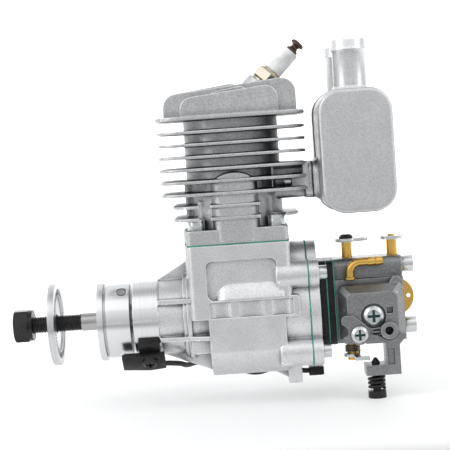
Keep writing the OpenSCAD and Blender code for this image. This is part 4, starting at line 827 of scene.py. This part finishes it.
# Tones along the depth Y, in metres + 0.5. A grey patch in front, below the picture, gives the metal its dark band.
FLOOR_TONES = [(0.05, 0.74), (0.16, 0.3), (0.31, 0.3), (0.38, 0.74)]
FLOOR_GLOW = [(0.36, 0), (0.39, 0.24), (0.56, 0.22), (0.75, 0.42)]
# Tones of the surroundings from straight down (0) to straight up (1), with a cool tint
WORLD_TONES = [(0.0, 0.7), (0.485, 0.6), (0.5, 0.62), (0.61, 0.78), (0.71, 0.9), (0.85, 1.0), (0.972, 1.0),
               (0.993, 0.5)]


def make_floor():
    """A pale floor that sweeps up behind."""
    floor_z = CAD_BOX[0][2]
    outline = [(FLOOR_FRONT, 0), (FLOOR_REAR, 0)]
    for step in range(1, SWEEP_STEPS + 1):
        angle = math.pi / 2 * step / SWEEP_STEPS
        outline.append((FLOOR_REAR + SWEEP_R * math.sin(angle), SWEEP_R * (1 - math.cos(angle))))
    outline.append((FLOOR_REAR + SWEEP_R, SWEEP_TOP))
    points = [(x, y, floor_z + z) for y, z in outline for x in (-FLOOR_HALF, FLOOR_HALF)]
    faces = [(i, i + 1, i + 3, i + 2) for i in range(0, len(points) - 2, 2)]
    mesh = bpy.data.meshes.new("floor")
    mesh.from_pydata(points, [], faces)
    mesh.shade_smooth()
    floor = bpy.data.objects.new("floor", mesh)
    bpy.context.scene.collection.objects.link(floor)
    finish = Finish("floor_white")
    toward = finish.math("ADD", finish.axes()[1], 0.5)
    finish.colour(finish.ramp(toward, [(place, grey(tone, 0)) for place, tone in FLOOR_TONES]))
    glow = finish.ramp(toward, [(place, grey(tone, 0)) for place, tone in FLOOR_GLOW])
    finish.link(glow, finish.shader.inputs["Emission Color"])
    finish.set(Roughness=0.7, Emission_Strength=1)
    mesh.materials.append(finish.material)


def softbox(name, place, aim, size, watts):
    """A rectangular light that looks from one place at another."""
    data = bpy.data.lights.new(name, "AREA")
    data.shape = "RECTANGLE"
    data.size, data.size_y = size
    data.energy = watts
    lamp = bpy.data.objects.new(name, data)
    lamp.location = place
    lamp.rotation_euler = (Vector(aim) - Vector(place)).to_track_quat("-Z", "Y").to_euler()
    bpy.context.scene.collection.objects.link(lamp)


def make_world():
    """Soft surroundings, darkest at the horizon and straight above."""
    world = bpy.data.worlds.new("studio")
    bpy.context.scene.world = world
    world.use_nodes = True
    tree = world.node_tree
    split = tree.nodes.new("ShaderNodeSeparateXYZ")
    tree.links.new(tree.nodes.new("ShaderNodeTexCoord").outputs["Generated"], split.inputs[0])
    rise = tree.nodes.new("ShaderNodeMapRange")
    rise.inputs["From Min"].default_value = -1
    tree.links.new(split.outputs[2], rise.inputs["Value"])
    band = tree.nodes.new("ShaderNodeValToRGB")
    fill_ramp(band, [(place, (tone * 0.98, tone * 0.99, tone)) for place, tone in WORLD_TONES])
    tree.links.new(rise.outputs["Result"], band.inputs["Fac"])
    tree.links.new(band.outputs["Color"], tree.nodes["Background"].inputs["Color"])
    tree.nodes["Background"].inputs["Strength"].default_value = 1.0


make_floor()
ENGINE_MIDDLE = (-0.03, 0, 0.04)
softbox("top_box", (-0.1, -0.6, 0.78), ENGINE_MIDDLE, (1.7, 0.6), 1.0)
softbox("left_box", (-1.0, -0.5, 0.5), ENGINE_MIDDLE, (0.5, 1.1), 3)
softbox("right_box", (0.95, -0.45, 0.45), ENGINE_MIDDLE, (0.4, 0.9), 2)
softbox("back_light", (0, 1.4, 1.2), (0, 2.2, 0.3), (2.5, 1.0), 30)
make_world()
bpy.context.scene.view_settings.view_transform = "Standard"
